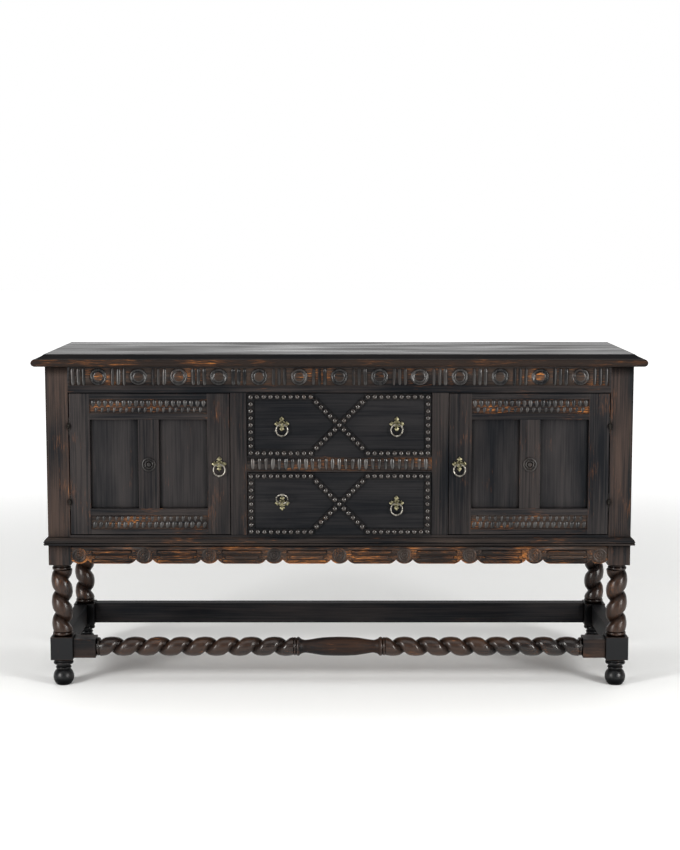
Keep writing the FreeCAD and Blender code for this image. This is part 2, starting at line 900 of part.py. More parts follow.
def waist_section(sketch, face, outward):
    """From the case face: a bead, a lip and a swelling slope back to the face."""
    lip_z = s.waist_bead_height + s.waist_lip
    return outline(
        sketch,
        (face, 0),
        (face + outward * s.waist_bead_root, 0),
        Via(face + outward * s.waist_bead_reach, s.waist_bead_height / 2),
        (face + outward * s.waist_bead_root, s.waist_bead_height),
        (face + outward * s.waist_projection, lip_z),
        Via(
            face + outward * ((s.waist_projection + s.waist_crown) / 2 + s.waist_swell),
            (lip_z + s.waist_height) / 2 + s.waist_swell,
        ),
        (face + outward * s.waist_crown, s.waist_height),
        (face, s.waist_height),
    )


def mitred(label, run, *plan):
    """A run of moulding cut to its plan, which gives it mitred ends."""
    shadow = new_body(f"{label}_plan", (0, 0, base_z))
    corners = outline(sketch_on(shadow, f"{label}_corners", "XY"), *plan)
    pad(shadow, f"{label}_plan_height", corners, s.waist_height)
    piece = doc.addObject("Part::MultiCommon", label)
    piece.Shapes = [run, shadow]
    return piece


def waist_moulding():
    """The moulding round the front and the sides, in three mitred lengths."""
    reach = case_half + s.waist_projection
    nose_y = front_y - s.waist_projection
    run = new_body("front_waist_run", (0, 0, base_z))
    section = waist_section(sketch_on(run, "front_waist_section", "YZ", -reach), front_y, -1)
    pad(run, "front_waist_length", section, 2 * reach)
    corners = (-reach, nose_y), (reach, nose_y), (case_half, front_y), (-case_half, front_y)
    lengths = [mitred("front_waist", run, *corners)]
    for name, side in SIDES.items():
        run = new_body(f"{name}_waist_run", (0, 0, base_z))
        sketch = sketch_on(run, f"{name}_waist_section", "XZ", -back_y)
        pad(run, f"{name}_waist_length", waist_section(sketch, side * case_half, side), back_y - nose_y)
        face, nose = side * case_half, side * reach
        corners = (face, front_y), (nose, nose_y), (nose, back_y), (face, back_y)
        lengths.append(mitred(f"{name}_waist", run, *corners))
    return group("waist_moulding", *lengths)


# Inside the case

def front_mullions():
    made = {}
    for name, side in SIDES.items():
        x_low, x_high = across(side, drawer_half, mullion_outer)
        corners = (x_low, front_y, opening_z), (x_high, inside_front, frieze_z)
        label = f"{name}_mullion"
        made[label] = tenoned(f"{label}_blank", *corners, 2, 1, s.short_tenon, s.tenon_shoulder)
    return made


def case_bottom():
    """The floor of the cupboards, notched round the posts."""
    low = opening_z - s.bottom_thickness
    reach = case_half - s.rail_thickness
    board = box("case_bottom_board", (-reach, inside_front, low), (reach, inside_back, opening_z))
    notches = []
    for name, side in SIDES.items():
        x_low, x_high = across(side, post_inner, case_half)
        for end_name, end in ENDS.items():
            y_low, y_high = along_depth(end, 0, s.post_width)
            corners = (x_low, y_low, low), (x_high, y_high, opening_z)
            notches.append(box(f"{end_name}_{name}_notch", *corners))
    return cut("case_bottom", board, *notches)


def shelf_pins(name, side, shelf_z):
    """Four pins under a shelf, by the face that each stands in: the posts and the partition."""
    pins = {}
    for end_name, end in ENDS.items():
        y_low, y_high = along_depth(end, 0, s.post_width)
        for face_name, face in (("post", post_inner), ("partition", partition_outer)):
            start = side * face - s.shelf_pin_reach
            pins[end_name, face_name] = cylinder(
                f"{end_name}_{name}_{face_name}_pin",
                s.shelf_pin_radius,
                2 * s.shelf_pin_reach,
                (start, (y_low + y_high) / 2, shelf_z - s.shelf_pin_radius),
                Vector(1, 0, 0),
            )
    return pins


def shelf(name, side, shelf_z):
    x_low, x_high = across(side, partition_outer + s.shelf_clearance, post_inner - s.shelf_clearance)
    return box(
        f"{name}_shelf",
        (x_low, front_y + s.shelf_setback, shelf_z),
        (x_high, inside_back, shelf_z + s.shelf_thickness),
    )


def runners():
    """Bearers that carry the upper drawer, and kickers above it."""
    strips = []
    for name, side in SIDES.items():
        x_low, x_high = across(side, drawer_half - s.runner_width, drawer_half)
        for kind, top in (("bearer", upper_drawer_z), ("kicker", frieze_z + s.runner_height)):
            corners = (x_low, inside_front, top - s.runner_height), (x_high, inside_back, top)
            strips.append(box(f"{name}_{kind}", *corners))
    return group("drawer_runners", *strips)


# Pulls

def pull_plate(label, x, z, wood):
    """A plate of four pointed leaves, with an eye for the ring, a stem through the wood and a nut."""
    plate = new_body(f"{label}_casting", (x, front_y, z))
    face = sketch_on(plate, f"{label}_outline", "XZ")
    shoulder = s.plate_reach - s.plate_leaf
    neck = shoulder - s.plate_leaf
    square = 2 * s.plate_boss_radius * s.plate_boss_radius - neck * neck
    waist = (root(square) - neck) / 2
    knob = s.plate_knob_radius * math.sqrt(0.5)
    path = []
    for turn in range(4):
        quarter = [
            (0, s.plate_reach),
            (s.plate_leaf, shoulder),
            (waist, waist + neck),
            Via(knob, knob),
            (waist + neck, waist),
            (shoulder, s.plate_leaf),
        ]
        for item in quarter:
            x_turned, y_turned = quarter_turned(item, turn)
            path.append(Via(x_turned, y_turned) if isinstance(item, Via) else (x_turned, y_turned))
    pad(plate, f"{label}_leaves", outline(face, *path), s.plate_thickness)
    side_view = sketch_on(plate, f"{label}_eye_outline", "YZ", -(s.eye_width / 2))
    outline(
        side_view,
        (0, -s.eye_radius),
        (-s.eye_height, -s.eye_radius),
        Via(-s.eye_height - s.eye_radius, 0),
        (-s.eye_height, s.eye_radius),
        (0, s.eye_radius),
    )
    circle(side_view, s.eye_bore_radius, -s.eye_height)
    pad(plate, f"{label}_eye", side_view, s.eye_width)
    stem = circle(sketch_on(plate, f"{label}_stem_circle", "XZ"), s.stem_radius)
    pad(plate, f"{label}_stem", stem, wood + s.nut_height, backwards=True)
    nut = doc.addObject("Part::Prism", f"{label}_nut_blank")
    nut.Polygon = 6
    bind(nut, "Circumradius", s.nut_radius)
    bind(nut, "Height", s.nut_height)
    nut.Placement = Placement(Vector(), Rotation(Vector(0, 0, 1), Vector(0, 1, 0)))
    set_down(nut, (x, front_y + wood, z))
    shank = cylinder(
        f"{label}_shank", s.stem_radius, wood + s.nut_height, (x, front_y, z), Vector(0, 1, 0)
    )
    return [plate, cut(f"{label}_nut", nut, shank)], shank


def quarter_turned(point, turn):
    """A point of an outline after so many clockwise quarter turns."""
    x, y = point
    for _ in range(turn):
        x, y = y, (-x if isinstance(x, Size) else 0)
    return x, y


def pull_ring(label, x, z, raised=0):
    """A ring through the eye with a knop opposite it, hanging or raised about the eye."""
    ring = new_body(label)
    wire = circle(sketch_on(ring, f"{label}_wire", "YZ"), s.ring_wire_radius, 0, s.ring_radius)
    revolve(ring, f"{label}_loop", wire, "H_Axis")
    half = s.ring_knop_length / 2
    knop = outline(
        sketch_on(ring, f"{label}_knop_shape", "XZ", rise=-s.ring_radius),
        (-half, 0),
        (half, 0),
        (half, s.ring_knop_end_radius),
        Via(0, s.ring_knop_radius),
        (-half, s.ring_knop_end_radius),
    )
    revolve(ring, f"{label}_knop", knop, "H_Axis")
    lean = math.radians(raised)
    ring.Placement = Placement(Vector(), Rotation(Vector(1, 0, 0), -raised))
    eye_y = front_y - s.eye_height
    return set_down(ring, (x, eye_y - s.ring_radius * math.sin(lean), z - s.ring_radius * math.cos(lean)))


# Hinges, doors and catches

def hinge_half(label, side, z, on_door):
    """A leaf in the gap beside the door, with the half of the barrel that belongs to it."""
    if on_door:
        near, far = post_inner - s.hinge_gap, post_inner - s.hinge_gap + s.leaf_thickness
        z_low, z_high = z, z + s.barrel_length
    else:
        near, far = post_inner - s.leaf_thickness, post_inner
        z_low, z_high = z - s.barrel_length, z
    x_low, x_high = across(side, near, far)
    half = s.leaf_height / 2
    behind = front_y + s.leaf_setback
    leaf = box(
        f"{label}_leaf",
        (x_low, behind, z - half),
        (x_high, front_y + s.leaf_depth, z + half),
    )
    neck = box(f"{label}_neck", (x_low, hinge_axis_y, z_low), (x_high, behind + s.leaf_thickness, z_high))
    place = (side * hinge_axis_x, hinge_axis_y, z_low)
    barrel = cylinder(f"{label}_barrel", s.barrel_radius, s.barrel_length, place)
    bore = cylinder(f"{label}_bore", s.hinge_pin_radius + s.hinge_pin_clearance, s.barrel_length, place)
    return cut(label, fuse(f"{label}_solid", leaf, neck, barrel), bore)


def hinge_pin(label, side, z):
    """A pin with a round tip above and below the barrel."""
    x = side * hinge_axis_x
    shaft = cylinder(
        f"{label}_shaft",
        s.hinge_pin_radius,
        2 * (s.barrel_length + s.hinge_tip_radius),
        (x, hinge_axis_y, z - s.barrel_length - s.hinge_tip_radius),
    )
    reach = s.barrel_length + s.hinge_tip_radius
    tips = [sphere(f"{label}_tip_{end}", s.hinge_tip_radius, (x, hinge_axis_y, z + sign * reach))
            for end, sign in (("below", -1), ("above", 1))]
    return fuse(label, shaft, *tips)


def door(name, side):
    """A framed door with two flat panels; the frame is grooved for the panels and tenoned."""
    hinge_edge = post_inner - s.hinge_gap
    lock_edge = mullion_outer + s.door_gap
    low_z = opening_z + s.door_gap
    high_z = frieze_z - s.door_gap
    back = front_y + s.door_thickness
    middle = (hinge_edge + lock_edge) / 2
    frame_low = low_z + s.door_rail_height
    frame_high = high_z - s.door_rail_height
    label = f"{name}_door"
    panels = []
    half_muntin = s.muntin_width / 2
    bays = (
        ("outer", middle + half_muntin, hinge_edge - s.stile_width),
        ("inner", lock_edge + s.stile_width, middle - half_muntin),
    )
    for bay, near, far in bays:
        x_low, x_high = across(side, near - s.groove_depth, far + s.groove_depth)
        corners = (
            (x_low, panel_front, frame_low - s.groove_depth),
            (x_high, panel_front + s.panel_thickness, frame_high + s.groove_depth),
        )
        panels.append(box(f"{label}_{bay}_panel", *corners))
    node(group(f"{label}_panels", *panels))
    x_low, x_high = across(side, middle - half_muntin, middle + half_muntin)
    corners = (x_low, front_y, frame_low), (x_high, back, frame_high)
    muntin, muntin_tongue = tenoned(f"{label}_muntin_blank", *corners, 2, 1, s.short_tenon, s.tenon_shoulder)
    node(cut(f"{label}_muntin", muntin, *panels))
    rails, tongues = [], []
    x_low, x_high = across(side, lock_edge + s.stile_width, hinge_edge - s.stile_width)
    for level, bottom in (("upper", frame_high), ("lower", low_z)):
        corners = (x_low, front_y, bottom), (x_high, back, bottom + s.door_rail_height)
        rail, tongue = tenoned(f"{label}_{level}_blank", *corners, 0, 1, s.tenon_length, s.tenon_shoulder)
        rails.append(cut(f"{label}_{level}_rail", rail, muntin_tongue, *panels))
        tongues.append(tongue)
    node(group(f"{label}_rails", *rails))
    pull_x = side * (lock_edge + s.door_pull_inset)
    pull_z = (low_z + high_z) / 2 + s.door_pull_rise
    plate, shank = pull_plate(f"{label}_pull", pull_x, pull_z, s.door_thickness)
    node(group(f"{label}_pull_plate", *plate))
    node(pull_ring(f"{label}_pull_ring", pull_x, pull_z))
    stiles = []
    for edge, near, far, seats in (
        ("hinge", hinge_edge - s.stile_width, hinge_edge, (*tongues, panels[0])),
        ("lock", lock_edge, lock_edge + s.stile_width, (*tongues, panels[1], shank)),
    ):
        x_low, x_high = across(side, near, far)
        board = box(f"{label}_{edge}_board", (x_low, front_y, low_z), (x_high, back, high_z))
        stiles.append(cut(f"{label}_{edge}_stile", board, *seats))
    node(group(f"{label}_stiles", *stiles))
    leaves = [hinge_half(f"{label}_{level}_hinge", side, z, True) for level, z in hinge_heights.items()]
    node(group(f"{label}_hinge_leaves", *leaves))
    x_low, x_high = across(side, lock_edge + s.catch_inset, lock_edge + s.catch_inset + s.catch_width)
    node(
        box(
            f"{label}_strike",
            (x_low, back, frieze_z - s.catch_drop),
            (x_high, inside_front - s.catch_gap, high_z),
        )
    )


def door_catch(name, side):
    """A magnetic catch behind the frieze rail, facing the strike on the door."""
    near = mullion_outer + s.door_gap + s.catch_inset
    x_low, x_high = across(side, near, near + s.catch_width)
    z_low = frieze_z - s.catch_drop
    return box(
        f"{name}_catch",
        (x_low, inside_front, z_low),
        (x_high, inside_front + s.catch_depth, z_low + s.catch_height),
    )


hinge_heights = {
    "upper": frieze_z - s.door_gap - s.hinge_inset,
    "lower": opening_z + s.door_gap + s.hinge_inset,
}


# Drawers

def bead_strip(label, length):
    """A strip along X with a row of domes."""
    strip = new_body(label)
    half = s.bead_strip_width / 2
    base = outline(
        sketch_on(strip, f"{label}_plan", "XZ"),
        (0, -half),
        (length, -half),
        (length, half),
        (0, half),
    )
    pad(strip, f"{label}_flat", base, s.bead_strip_thickness)
    count = max(1, round(length.value / s.bead_pitch.value))
    step = length / count
    section = outline(
        sketch_on(strip, f"{label}_dome_shape", "XY", slide=step / 2),
        (0, 0),
        (s.bead_radius, 0),
        (s.bead_radius, -s.bead_strip_thickness),
        Via(s.bead_radius * math.sqrt(0.5), -s.bead_strip_thickness - s.bead_height * math.sqrt(0.5)),
        (0, -s.bead_strip_thickness - s.bead_height),
    )
    dome = revolve(strip, f"{label}_dome", section, "V_Axis")
    row = strip.newObject("PartDesign::LinearPattern", f"{label}_domes")
    row.Originals = [dome]
    row.Direction = (base, ["H_Axis"])
    bind(row, "Length", length - step)
    row.Occurrences = count
    strip.Tip = row
    return strip


def laid(label, strip, place, turn):
    """A strip laid on the drawer front and turned about the view."""
    copy = group(label, strip)
    copy.Placement = Placement(Vector(), Rotation(Vector(0, 1, 0), -turn))
    return set_down(copy, place)


drawer_reach = drawer_half - s.drawer_gap
drawer_height = drawer_space - s.run_clearance - s.drawer_gap
bead_row_start = drawer_height / 2 - s.bead_strip_width
bead_row_end = drawer_reach - s.bead_strip_width
bead_diagonal = bead_row_start * math.sqrt(2)
bead_strips = {
    "column": bead_strip("column_strip", drawer_height),
    "row": bead_strip("row_strip", bead_row_end - bead_row_start),
    "diagonal": bead_strip("diagonal_strip", 2 * bead_diagonal),
    "half_diagonal": bead_strip("half_diagonal_strip", bead_diagonal - s.bead_strip_width / 2),
}


def beading(label, low_z):
    """Strips up both ends of a drawer and part of the way along its edges, crossed in the middle."""
    half = s.bead_strip_width / 2
    high_z = low_z + drawer_height
    middle_z = low_z + drawer_height / 2
    edge = half * math.sqrt(0.5)
    start = (-bead_row_start, front_y, middle_z - bead_row_start)
    strips = [laid(f"{label}_diagonal", bead_strips["diagonal"], start, 45)]
    for name, side in SIDES.items():
        start = (side * (drawer_reach - half), front_y, low_z)
        strips.append(laid(f"{label}_{name}_column", bead_strips["column"], start, 90))
        x_low, _ = across(side, bead_row_start, bead_row_end)
        for level, z in (("upper", high_z - half), ("lower", low_z + half)):
            strips.append(laid(f"{label}_{level}_{name}_row", bead_strips["row"], (x_low, front_y, z), 0))
        start = (side * edge, front_y, middle_z - side * edge)
        turn = -45 if side > 0 else 135
        strips.append(laid(f"{label}_{name}_half_diagonal", bead_strips["half_diagonal"], start, turn))
    return group(f"{label}_beading", *strips)


def drawer(name, floor_z, raised_ring):
    """An inset drawer: beaded front, walls, a bottom in grooves and two ring pulls."""
    label = f"{name}_drawer"
    reach = drawer_reach
    low_z = floor_z + s.run_clearance
    high_z = low_z + drawer_height
    wall_top = high_z - s.drawer_wall_drop
    front_back = front_y + s.drawer_front_thickness
    end_y = inside_back - s.drawer_back_clearance
    inner = reach - s.drawer_wall_thickness
    bottom_z = low_z + s.drawer_bottom_rise
    bottom_top = bottom_z + s.drawer_bottom_thickness
    bottom = box(
        f"{label}_bottom",
        (-inner - s.drawer_groove, front_back - s.drawer_groove, bottom_z),
        (inner + s.drawer_groove, end_y, bottom_top),
    )
    node(bottom)
    walls = [
        box(
            f"{label}_back",
            (-inner, end_y - s.drawer_wall_thickness, bottom_top),
            (inner, end_y, wall_top),
        )
    ]
    for side_name, side in SIDES.items():
        x_low, x_high = across(side, inner, reach)
        board = box(f"{label}_{side_name}_board", (x_low, front_back, low_z), (x_high, end_y, wall_top))
        walls.append(cut(f"{label}_{side_name}_wall", board, bottom))
    node(group(f"{label}_walls", *walls))
    pull_z = (low_z + high_z) / 2 + s.drawer_pull_rise
    plates, shanks = [], []
    for side_name, side in SIDES.items():
        pull_x = side * (drawer_reach - s.drawer_pull_inset)
        solids, shank = pull_plate(f"{label}_{side_name}_pull", pull_x, pull_z, s.drawer_front_thickness)
        plates += solids
        shanks.append(shank)
        angle = RAISED_RING_ANGLE if side_name == raised_ring else 0
        node(pull_ring(f"{label}_{side_name}_ring", pull_x, pull_z, angle))
    node(group(f"{label}_pull_plates", *plates))
    face = box(f"{label}_board", (-reach, front_y, low_z), (reach, front_back, high_z))
    node(cut(f"{label}_front", face, bottom, *shanks))
    node(beading(label, low_z))


# The whole

def tongues_of(made):
    return [tongue for _, tongue in made.values()]


def front_frame():
    """Frieze rail, base rail, mullions and drawer rail; gives the tongues that enter the posts."""
    rails = {name: span for name, span in frame_rails.items() if not name.endswith("back_rail")}
    mullions = front_mullions()
    for name, (rail, _) in rails.items():
        node(cut(name, rail, *tongues_of(mullions)))
    corners = (-drawer_half, front_y, drawer_rail_z), (drawer_half, inside_front, upper_drawer_z)
    drawer_rail, drawer_tongue = tenoned("drawer_rail", *corners, 0, 1, s.short_tenon, s.tenon_shoulder)
    node(drawer_rail)
    for name, (mullion, _) in mullions.items():
        node(cut(name, mullion, drawer_tongue))
    apron, apron_tongue = front_apron()
    node(apron)
    stretcher, stretcher_tongues = front_stretcher()
    node(stretcher)
    return [*tongues_of(rails), apron_tongue, *stretcher_tongues]


def back_frame():
    """Back rails and panel, rear apron and stretcher; gives what enters the posts."""
    rails = {name: span for name, span in frame_rails.items() if name.endswith("back_rail")}
    reach = post_inner + s.groove_depth
    outer_y = back_y - s.panel_recess
    panel = box(
        "back_panel",
        (-reach, outer_y - s.panel_thickness, panel_low - s.groove_depth),
        (reach, outer_y, frieze_z + s.groove_depth),
    )
    node(panel)
    node(group("back_rails", *(cut(name, rail, panel) for name, (rail, _) in rails.items())))
    for name in ("rear_apron", "rear_stretcher"):
        node(lower_rails[name][0])
    return [*tongues_of(rails), lower_rails["rear_apron"][1], lower_rails["rear_stretcher"][1], panel]


def side_frames():
    """Side rails, panels, aprons and stretchers; gives what enters the posts on each side."""
    rails, panels, seats = [], [], {}
    for name, side in SIDES.items():
        panel = side_panel(name, side)
        made = side_rails(name, side)
        rails += [cut(label, rail, panel) for label, (rail, _) in made.items()]
        panels.append(panel)
        low = [lower_rails[f"{name}_{kind}"][1] for kind in ("apron", "stretcher")]
        seats[side] = [*tongues_of(made), *low, panel]
    node(group("side_rails", *rails))
    node(group("side_panels", *panels))
    for kind in ("apron", "stretcher"):
        node(group(f"side_{kind}s", *(lower_rails[f"{name}_{kind}"][0] for name in SIDES)))
    return seats


def cupboards():
    """Bottom, partitions and shelves on their pins; gives the pins that stand in each post."""
    shelf_z = opening_z + s.shelf_rise
    shelves, pins, partitions, post_pins = [], [], [], {}
    for name, side in SIDES.items():
        shelves.append(shelf(name, side, shelf_z))
        made = shelf_pins(name, side, shelf_z)
        pins += made.values()
        x_low, x_high = across(side, drawer_half, partition_outer)
        board = box(f"{name}_partition_board", (x_low, inside_front, opening_z), (x_high, inside_back, top_z))
        inner_pins = [made[end_name, "partition"] for end_name in ENDS]
        partitions.append(cut(f"{name}_partition", board, *inner_pins))
        for end_name, end in ENDS.items():
            post_pins[end, side] = made[end_name, "post"]
    node(case_bottom())
    node(group("partitions", *partitions))
    node(group("shelves", *shelves))
    node(group("shelf_pins", *pins))
    node(runners())
    return post_pins


def fittings():
    """The hinge leaves and pins on the posts, and the catches."""
    leaves, pins = [], []
    for name, side in SIDES.items():
        for level, z in hinge_heights.items():
            leaves.append(hinge_half(f"{name}_{level}_case_leaf", side, z, False))
            pins.append(hinge_pin(f"{name}_{level}_hinge_pin", side, z))
    node(group("hinge_case_leaves", *leaves))
    node(group("hinge_pins", *pins))
    node(group("door_catches", *(door_catch(name, side) for name, side in SIDES.items())))


def build():
    seats_across = {-1: front_frame(), 1: back_frame()}
    seats_beside = side_frames()
    post_pins = cupboards()
    for end_name, end in ENDS.items():
        for name, side in SIDES.items():
            label = f"{end_name}_{name}_post"
            seats = [*seats_across[end], *seats_beside[side], post_pins[end, side]]
            node(cut(label, turned_post(label, side, end), *seats))
    node(top_board())
    node(waist_moulding())
    fittings()
    for name, side in SIDES.items():
        door(name, side)
    drawer("upper", upper_drawer_z, None)
    drawer("lower", opening_z, "left")


def check_and_write():
    doc.recompute()
    for item in doc.Objects:
        if "Invalid" in item.State or "Error" in item.State:
            raise RuntimeError(f"{item.Label} failed: {item.State}")
    for piece in nodes:
        if piece.Shape.isNull() or not piece.Shape.isValid():
            raise RuntimeError(f"{piece.Label} has no valid shape")
    os.makedirs("parts", exist_ok=True)
    for piece in nodes:
        piece.Shape.exportStep(f"parts/{piece.Label}.step")


frame_rails = front_and_back_rails()
lower_rails = {**plain_aprons(), **plain_stretchers()}
build()
check_and_write()
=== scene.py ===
import math
import random
from collections import namedtuple

import bmesh
import bpy
from bpy.props import FloatProperty, FloatVectorProperty, IntProperty, PointerProperty
from mathutils import Matrix, Vector


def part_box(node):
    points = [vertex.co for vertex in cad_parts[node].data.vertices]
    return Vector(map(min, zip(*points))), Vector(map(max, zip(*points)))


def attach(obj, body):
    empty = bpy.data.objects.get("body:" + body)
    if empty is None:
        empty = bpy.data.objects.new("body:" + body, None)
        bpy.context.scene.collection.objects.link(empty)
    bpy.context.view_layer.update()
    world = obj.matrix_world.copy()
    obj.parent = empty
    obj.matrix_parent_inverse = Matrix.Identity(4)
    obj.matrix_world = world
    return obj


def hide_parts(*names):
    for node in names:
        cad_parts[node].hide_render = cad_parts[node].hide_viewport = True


bl_info = {
    "name": "Twist-legged buffet",
    "version": (1, 0, 0),
    "blender": (4, 5, 0),
    "location": "3D View > Sidebar > Buffet",
    "description": "Carving, finishes and a studio stage for a buffet on barley-twist legs",
    "category": "Object",
}

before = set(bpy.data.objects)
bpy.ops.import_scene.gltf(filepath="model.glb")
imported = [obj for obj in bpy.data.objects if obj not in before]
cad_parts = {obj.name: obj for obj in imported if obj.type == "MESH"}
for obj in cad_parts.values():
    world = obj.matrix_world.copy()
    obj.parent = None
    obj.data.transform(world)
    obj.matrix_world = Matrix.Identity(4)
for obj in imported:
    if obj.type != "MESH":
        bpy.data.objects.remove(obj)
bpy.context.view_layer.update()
MM = 0.001
SIDES = ("left", "right")
LEVELS = ("upper", "lower")
CHISEL_SEED = 17

# Grain runs along one of these axes.
ACROSS, DEEP, UPRIGHT = 0, 1, 2
GRAIN_NAMES = ("across", "deep", "upright")
# Look and grain of the wood that keeps its shape from the CAD.
CASE_WOOD = {
    "top_board": ("top", ACROSS),
    "front_left_post": ("leg", UPRIGHT),
    "front_right_post": ("leg", UPRIGHT),
    "rear_left_post": ("leg", UPRIGHT),
    "rear_right_post": ("leg", UPRIGHT),
    "base_rail": ("front", ACROSS),
    "left_mullion": ("frame", UPRIGHT),
    "right_mullion": ("frame", UPRIGHT),
    "side_rails": ("frame", DEEP),
    "side_panels": ("frame", UPRIGHT),
    "back_panel": ("frame", UPRIGHT),
    "back_rails": ("frame", ACROSS),
    "case_bottom": ("inner", ACROSS),
    "partitions": ("inner", UPRIGHT),
    "shelves": ("inner", ACROSS),
    "shelf_pins": ("inner", DEEP),
    "drawer_runners": ("inner", DEEP),
    "waist_moulding": ("waist", ACROSS),
    "side_aprons": ("stand", DEEP),
    "rear_apron": ("stand", ACROSS),
    "front_stretcher": ("bar", ACROSS),
    "rear_stretcher": ("stand", ACROSS),
    "side_stretchers": ("stand", DEEP),
}
EASED_WOOD = (
    "base_rail", "left_mullion", "right_mullion", "side_rails", "side_panels",
    "side_aprons", "rear_apron", "rear_stretcher", "side_stretchers",
)
DRAWER_WOOD = {
    "front": ("drawer", ACROSS),
    "beading": ("bead", ACROSS),
    "walls": ("inner", DEEP),
    "bottom": ("inner", ACROSS),
}
CASE_IRON = ("hinge_case_leaves", "hinge_pins", "door_catches")
DOOR_IRON = ("hinge_leaves", "strike")


def linear(code):
    """Linear colour of an sRGB hex value."""
    shares = [int(code[place:place + 2], 16) / 255 for place in (0, 2, 4)]
    return tuple(s / 12.92 if s <= 0.04045 else ((s + 0.055) / 1.055) ** 2.4 for s in shares)


class BuffetCarving(bpy.types.PropertyGroup):
    ground_depth: FloatProperty(
        name="Ground depth", description="How far a carved band's ground is sunk",
        default=2.6 * MM, unit="LENGTH")
    band_margin: FloatProperty(
        name="Band slope", description="Width of the chiselled slope round a band",
        default=1.5 * MM, unit="LENGTH")
    roundels: IntProperty(
        name="Roundels", description="Roundels along the frieze", default=13)
    bay: FloatProperty(
        name="Frieze bay", description="Distance from roundel to roundel",
        default=120 * MM, unit="LENGTH")
    reed_pitch: FloatProperty(
        name="Reed pitch", description="Distance between reeds in a group",
        default=17 * MM, unit="LENGTH")
    spindle_pitch: FloatProperty(
        name="Spindle pitch", description="Distance between the drawer rail's spindles",
        default=20 * MM, unit="LENGTH")
    tongue_pitch: FloatProperty(
        name="Tongue pitch", description="Distance between tongues on a door rail",
        default=18.4 * MM, unit="LENGTH")
    rosettes: IntProperty(
        name="Rosettes", description="Rosettes along the apron", default=9)
    lobe: FloatProperty(
        name="Lobe spacing", description="Distance between the apron's lobes",
        default=196.6 * MM, unit="LENGTH")
    easing: FloatProperty(
        name="Eased edge", description="Rounding of the sharp edges",
        default=0.9 * MM, unit="LENGTH")


class BuffetFinish(bpy.types.PropertyGroup):
    black: FloatVectorProperty(
        name="Black stain", description="Ebonised oak where the stain is whole",
        default=linear("121315"), subtype="COLOR")
    brown: FloatVectorProperty(
        name="Brown", description="Oak that shows through thin stain",
        default=linear("362a22"), subtype="COLOR")
    crown: FloatVectorProperty(
        name="Turned brown", description="Oak along the crowns of turned work",
        default=linear("4b2e19"), subtype="COLOR")
    halo: FloatVectorProperty(
        name="Thin stain", description="Stain worn thin round a rubbed spot",
        default=linear("4e3220"), subtype="COLOR")
    rubbed: FloatVectorProperty(
        name="Rubbed oak", description="Oak where the stain is rubbed through",
        default=linear("a0642f"), subtype="COLOR")
    inner: FloatVectorProperty(
        name="Inner oak", description="Oiled oak inside the case",
        default=linear("6b4a30"), subtype="COLOR")
    brass: FloatVectorProperty(
        name="Brass", description="Antique brass of the plates",
        default=linear("aaa382"), subtype="COLOR")
    patina: FloatVectorProperty(
        name="Patina", description="Dark tarnish on the plates",
        default=linear("312e20"), subtype="COLOR")
    ring: FloatVectorProperty(
        name="Ring brass", description="Antique brass of the rings",
        default=linear("a5a096"), subtype="COLOR")
    ring_patina: FloatVectorProperty(
        name="Ring patina", description="Dark tarnish on the rings",
        default=linear("3e3b34"), subtype="COLOR")
    iron: FloatVectorProperty(
        name="Iron", description="Blackened iron of the hinges",
        default=linear("2b2926"), subtype="COLOR")
    floor: FloatVectorProperty(
        name="Floor", description="Pale studio floor",
        default=linear("f4f4f2"), subtype="COLOR")


class BuffetStage(bpy.types.PropertyGroup):
    eye: FloatVectorProperty(
        name="Camera", description="Camera position",
        default=(0.0019, -5.2688, 1.4010), subtype="TRANSLATION")
    pitch: FloatProperty(
        name="Pitch", description="How far the camera looks down",
        default=0.1184, subtype="ANGLE")
    lens: FloatProperty(
        name="Lens", description="Focal length in millimetres", default=71.56)
    softbox: FloatProperty(
        name="Softboxes", description="Power of each side softbox", default=150, unit="POWER")
    overhead: FloatProperty(
        name="Overhead", description="Power of the overhead light", default=68, unit="POWER")
    strip: FloatProperty(
        name="Strip", description="Power of the strip light above the front",
        default=40, unit="POWER")
    front_fill: FloatProperty(
        name="Front fill", description="Brightness of the room before the buffet", default=0.13)
    back_fill: FloatProperty(
        name="Back fill", description="Brightness of the backdrop", default=0.92)


def add(tree, kind, settings, inputs):
    """Adds a node: an input takes a value, a node's first live output, or a (node, output) pair."""
    node = tree.nodes.new("ShaderNode" + kind)
    for name, value in settings.items():
        setattr(node, name, value)
    for name, value in inputs.items():
        if isinstance(value, bpy.types.Node):
            value = next(output for output in value.outputs if output.enabled)
        elif isinstance(value, tuple) and isinstance(value[0], bpy.types.Node):
            value = value[0].outputs[value[1]]
        if isinstance(value, bpy.types.NodeSocket):
            tree.links.new(value, node.inputs[name])
        else:
            node.inputs[name].default_value = value
    return node


def opaque(colour):
    """A shader colour from a plain one."""
    return (*colour, 1.0)


def stretch(grain, along, across):
    """Mapping scale that makes a pattern so many millimetres long with the grain and wide across it."""
    scale = [1 / (across * MM)] * 3
    scale[grain] = 1 / (along * MM)
    return tuple(scale)


def away_from(tree, here, axis, place):
    """How far a point lies from a plane that stands across an axis."""
    spot = (add(tree, "SeparateXYZ", {}, {0: here}), "XYZ"[axis])
    offset = add(tree, "Math", {"operation": "SUBTRACT"}, {0: spot, 1: place})
    return add(tree, "Math", {"operation": "ABSOLUTE"}, {0: offset})


def new_material(name):
    """An empty node material."""
    material = bpy.data.materials.new(name)
    material.use_nodes = True
    material.node_tree.nodes.clear()
    return material


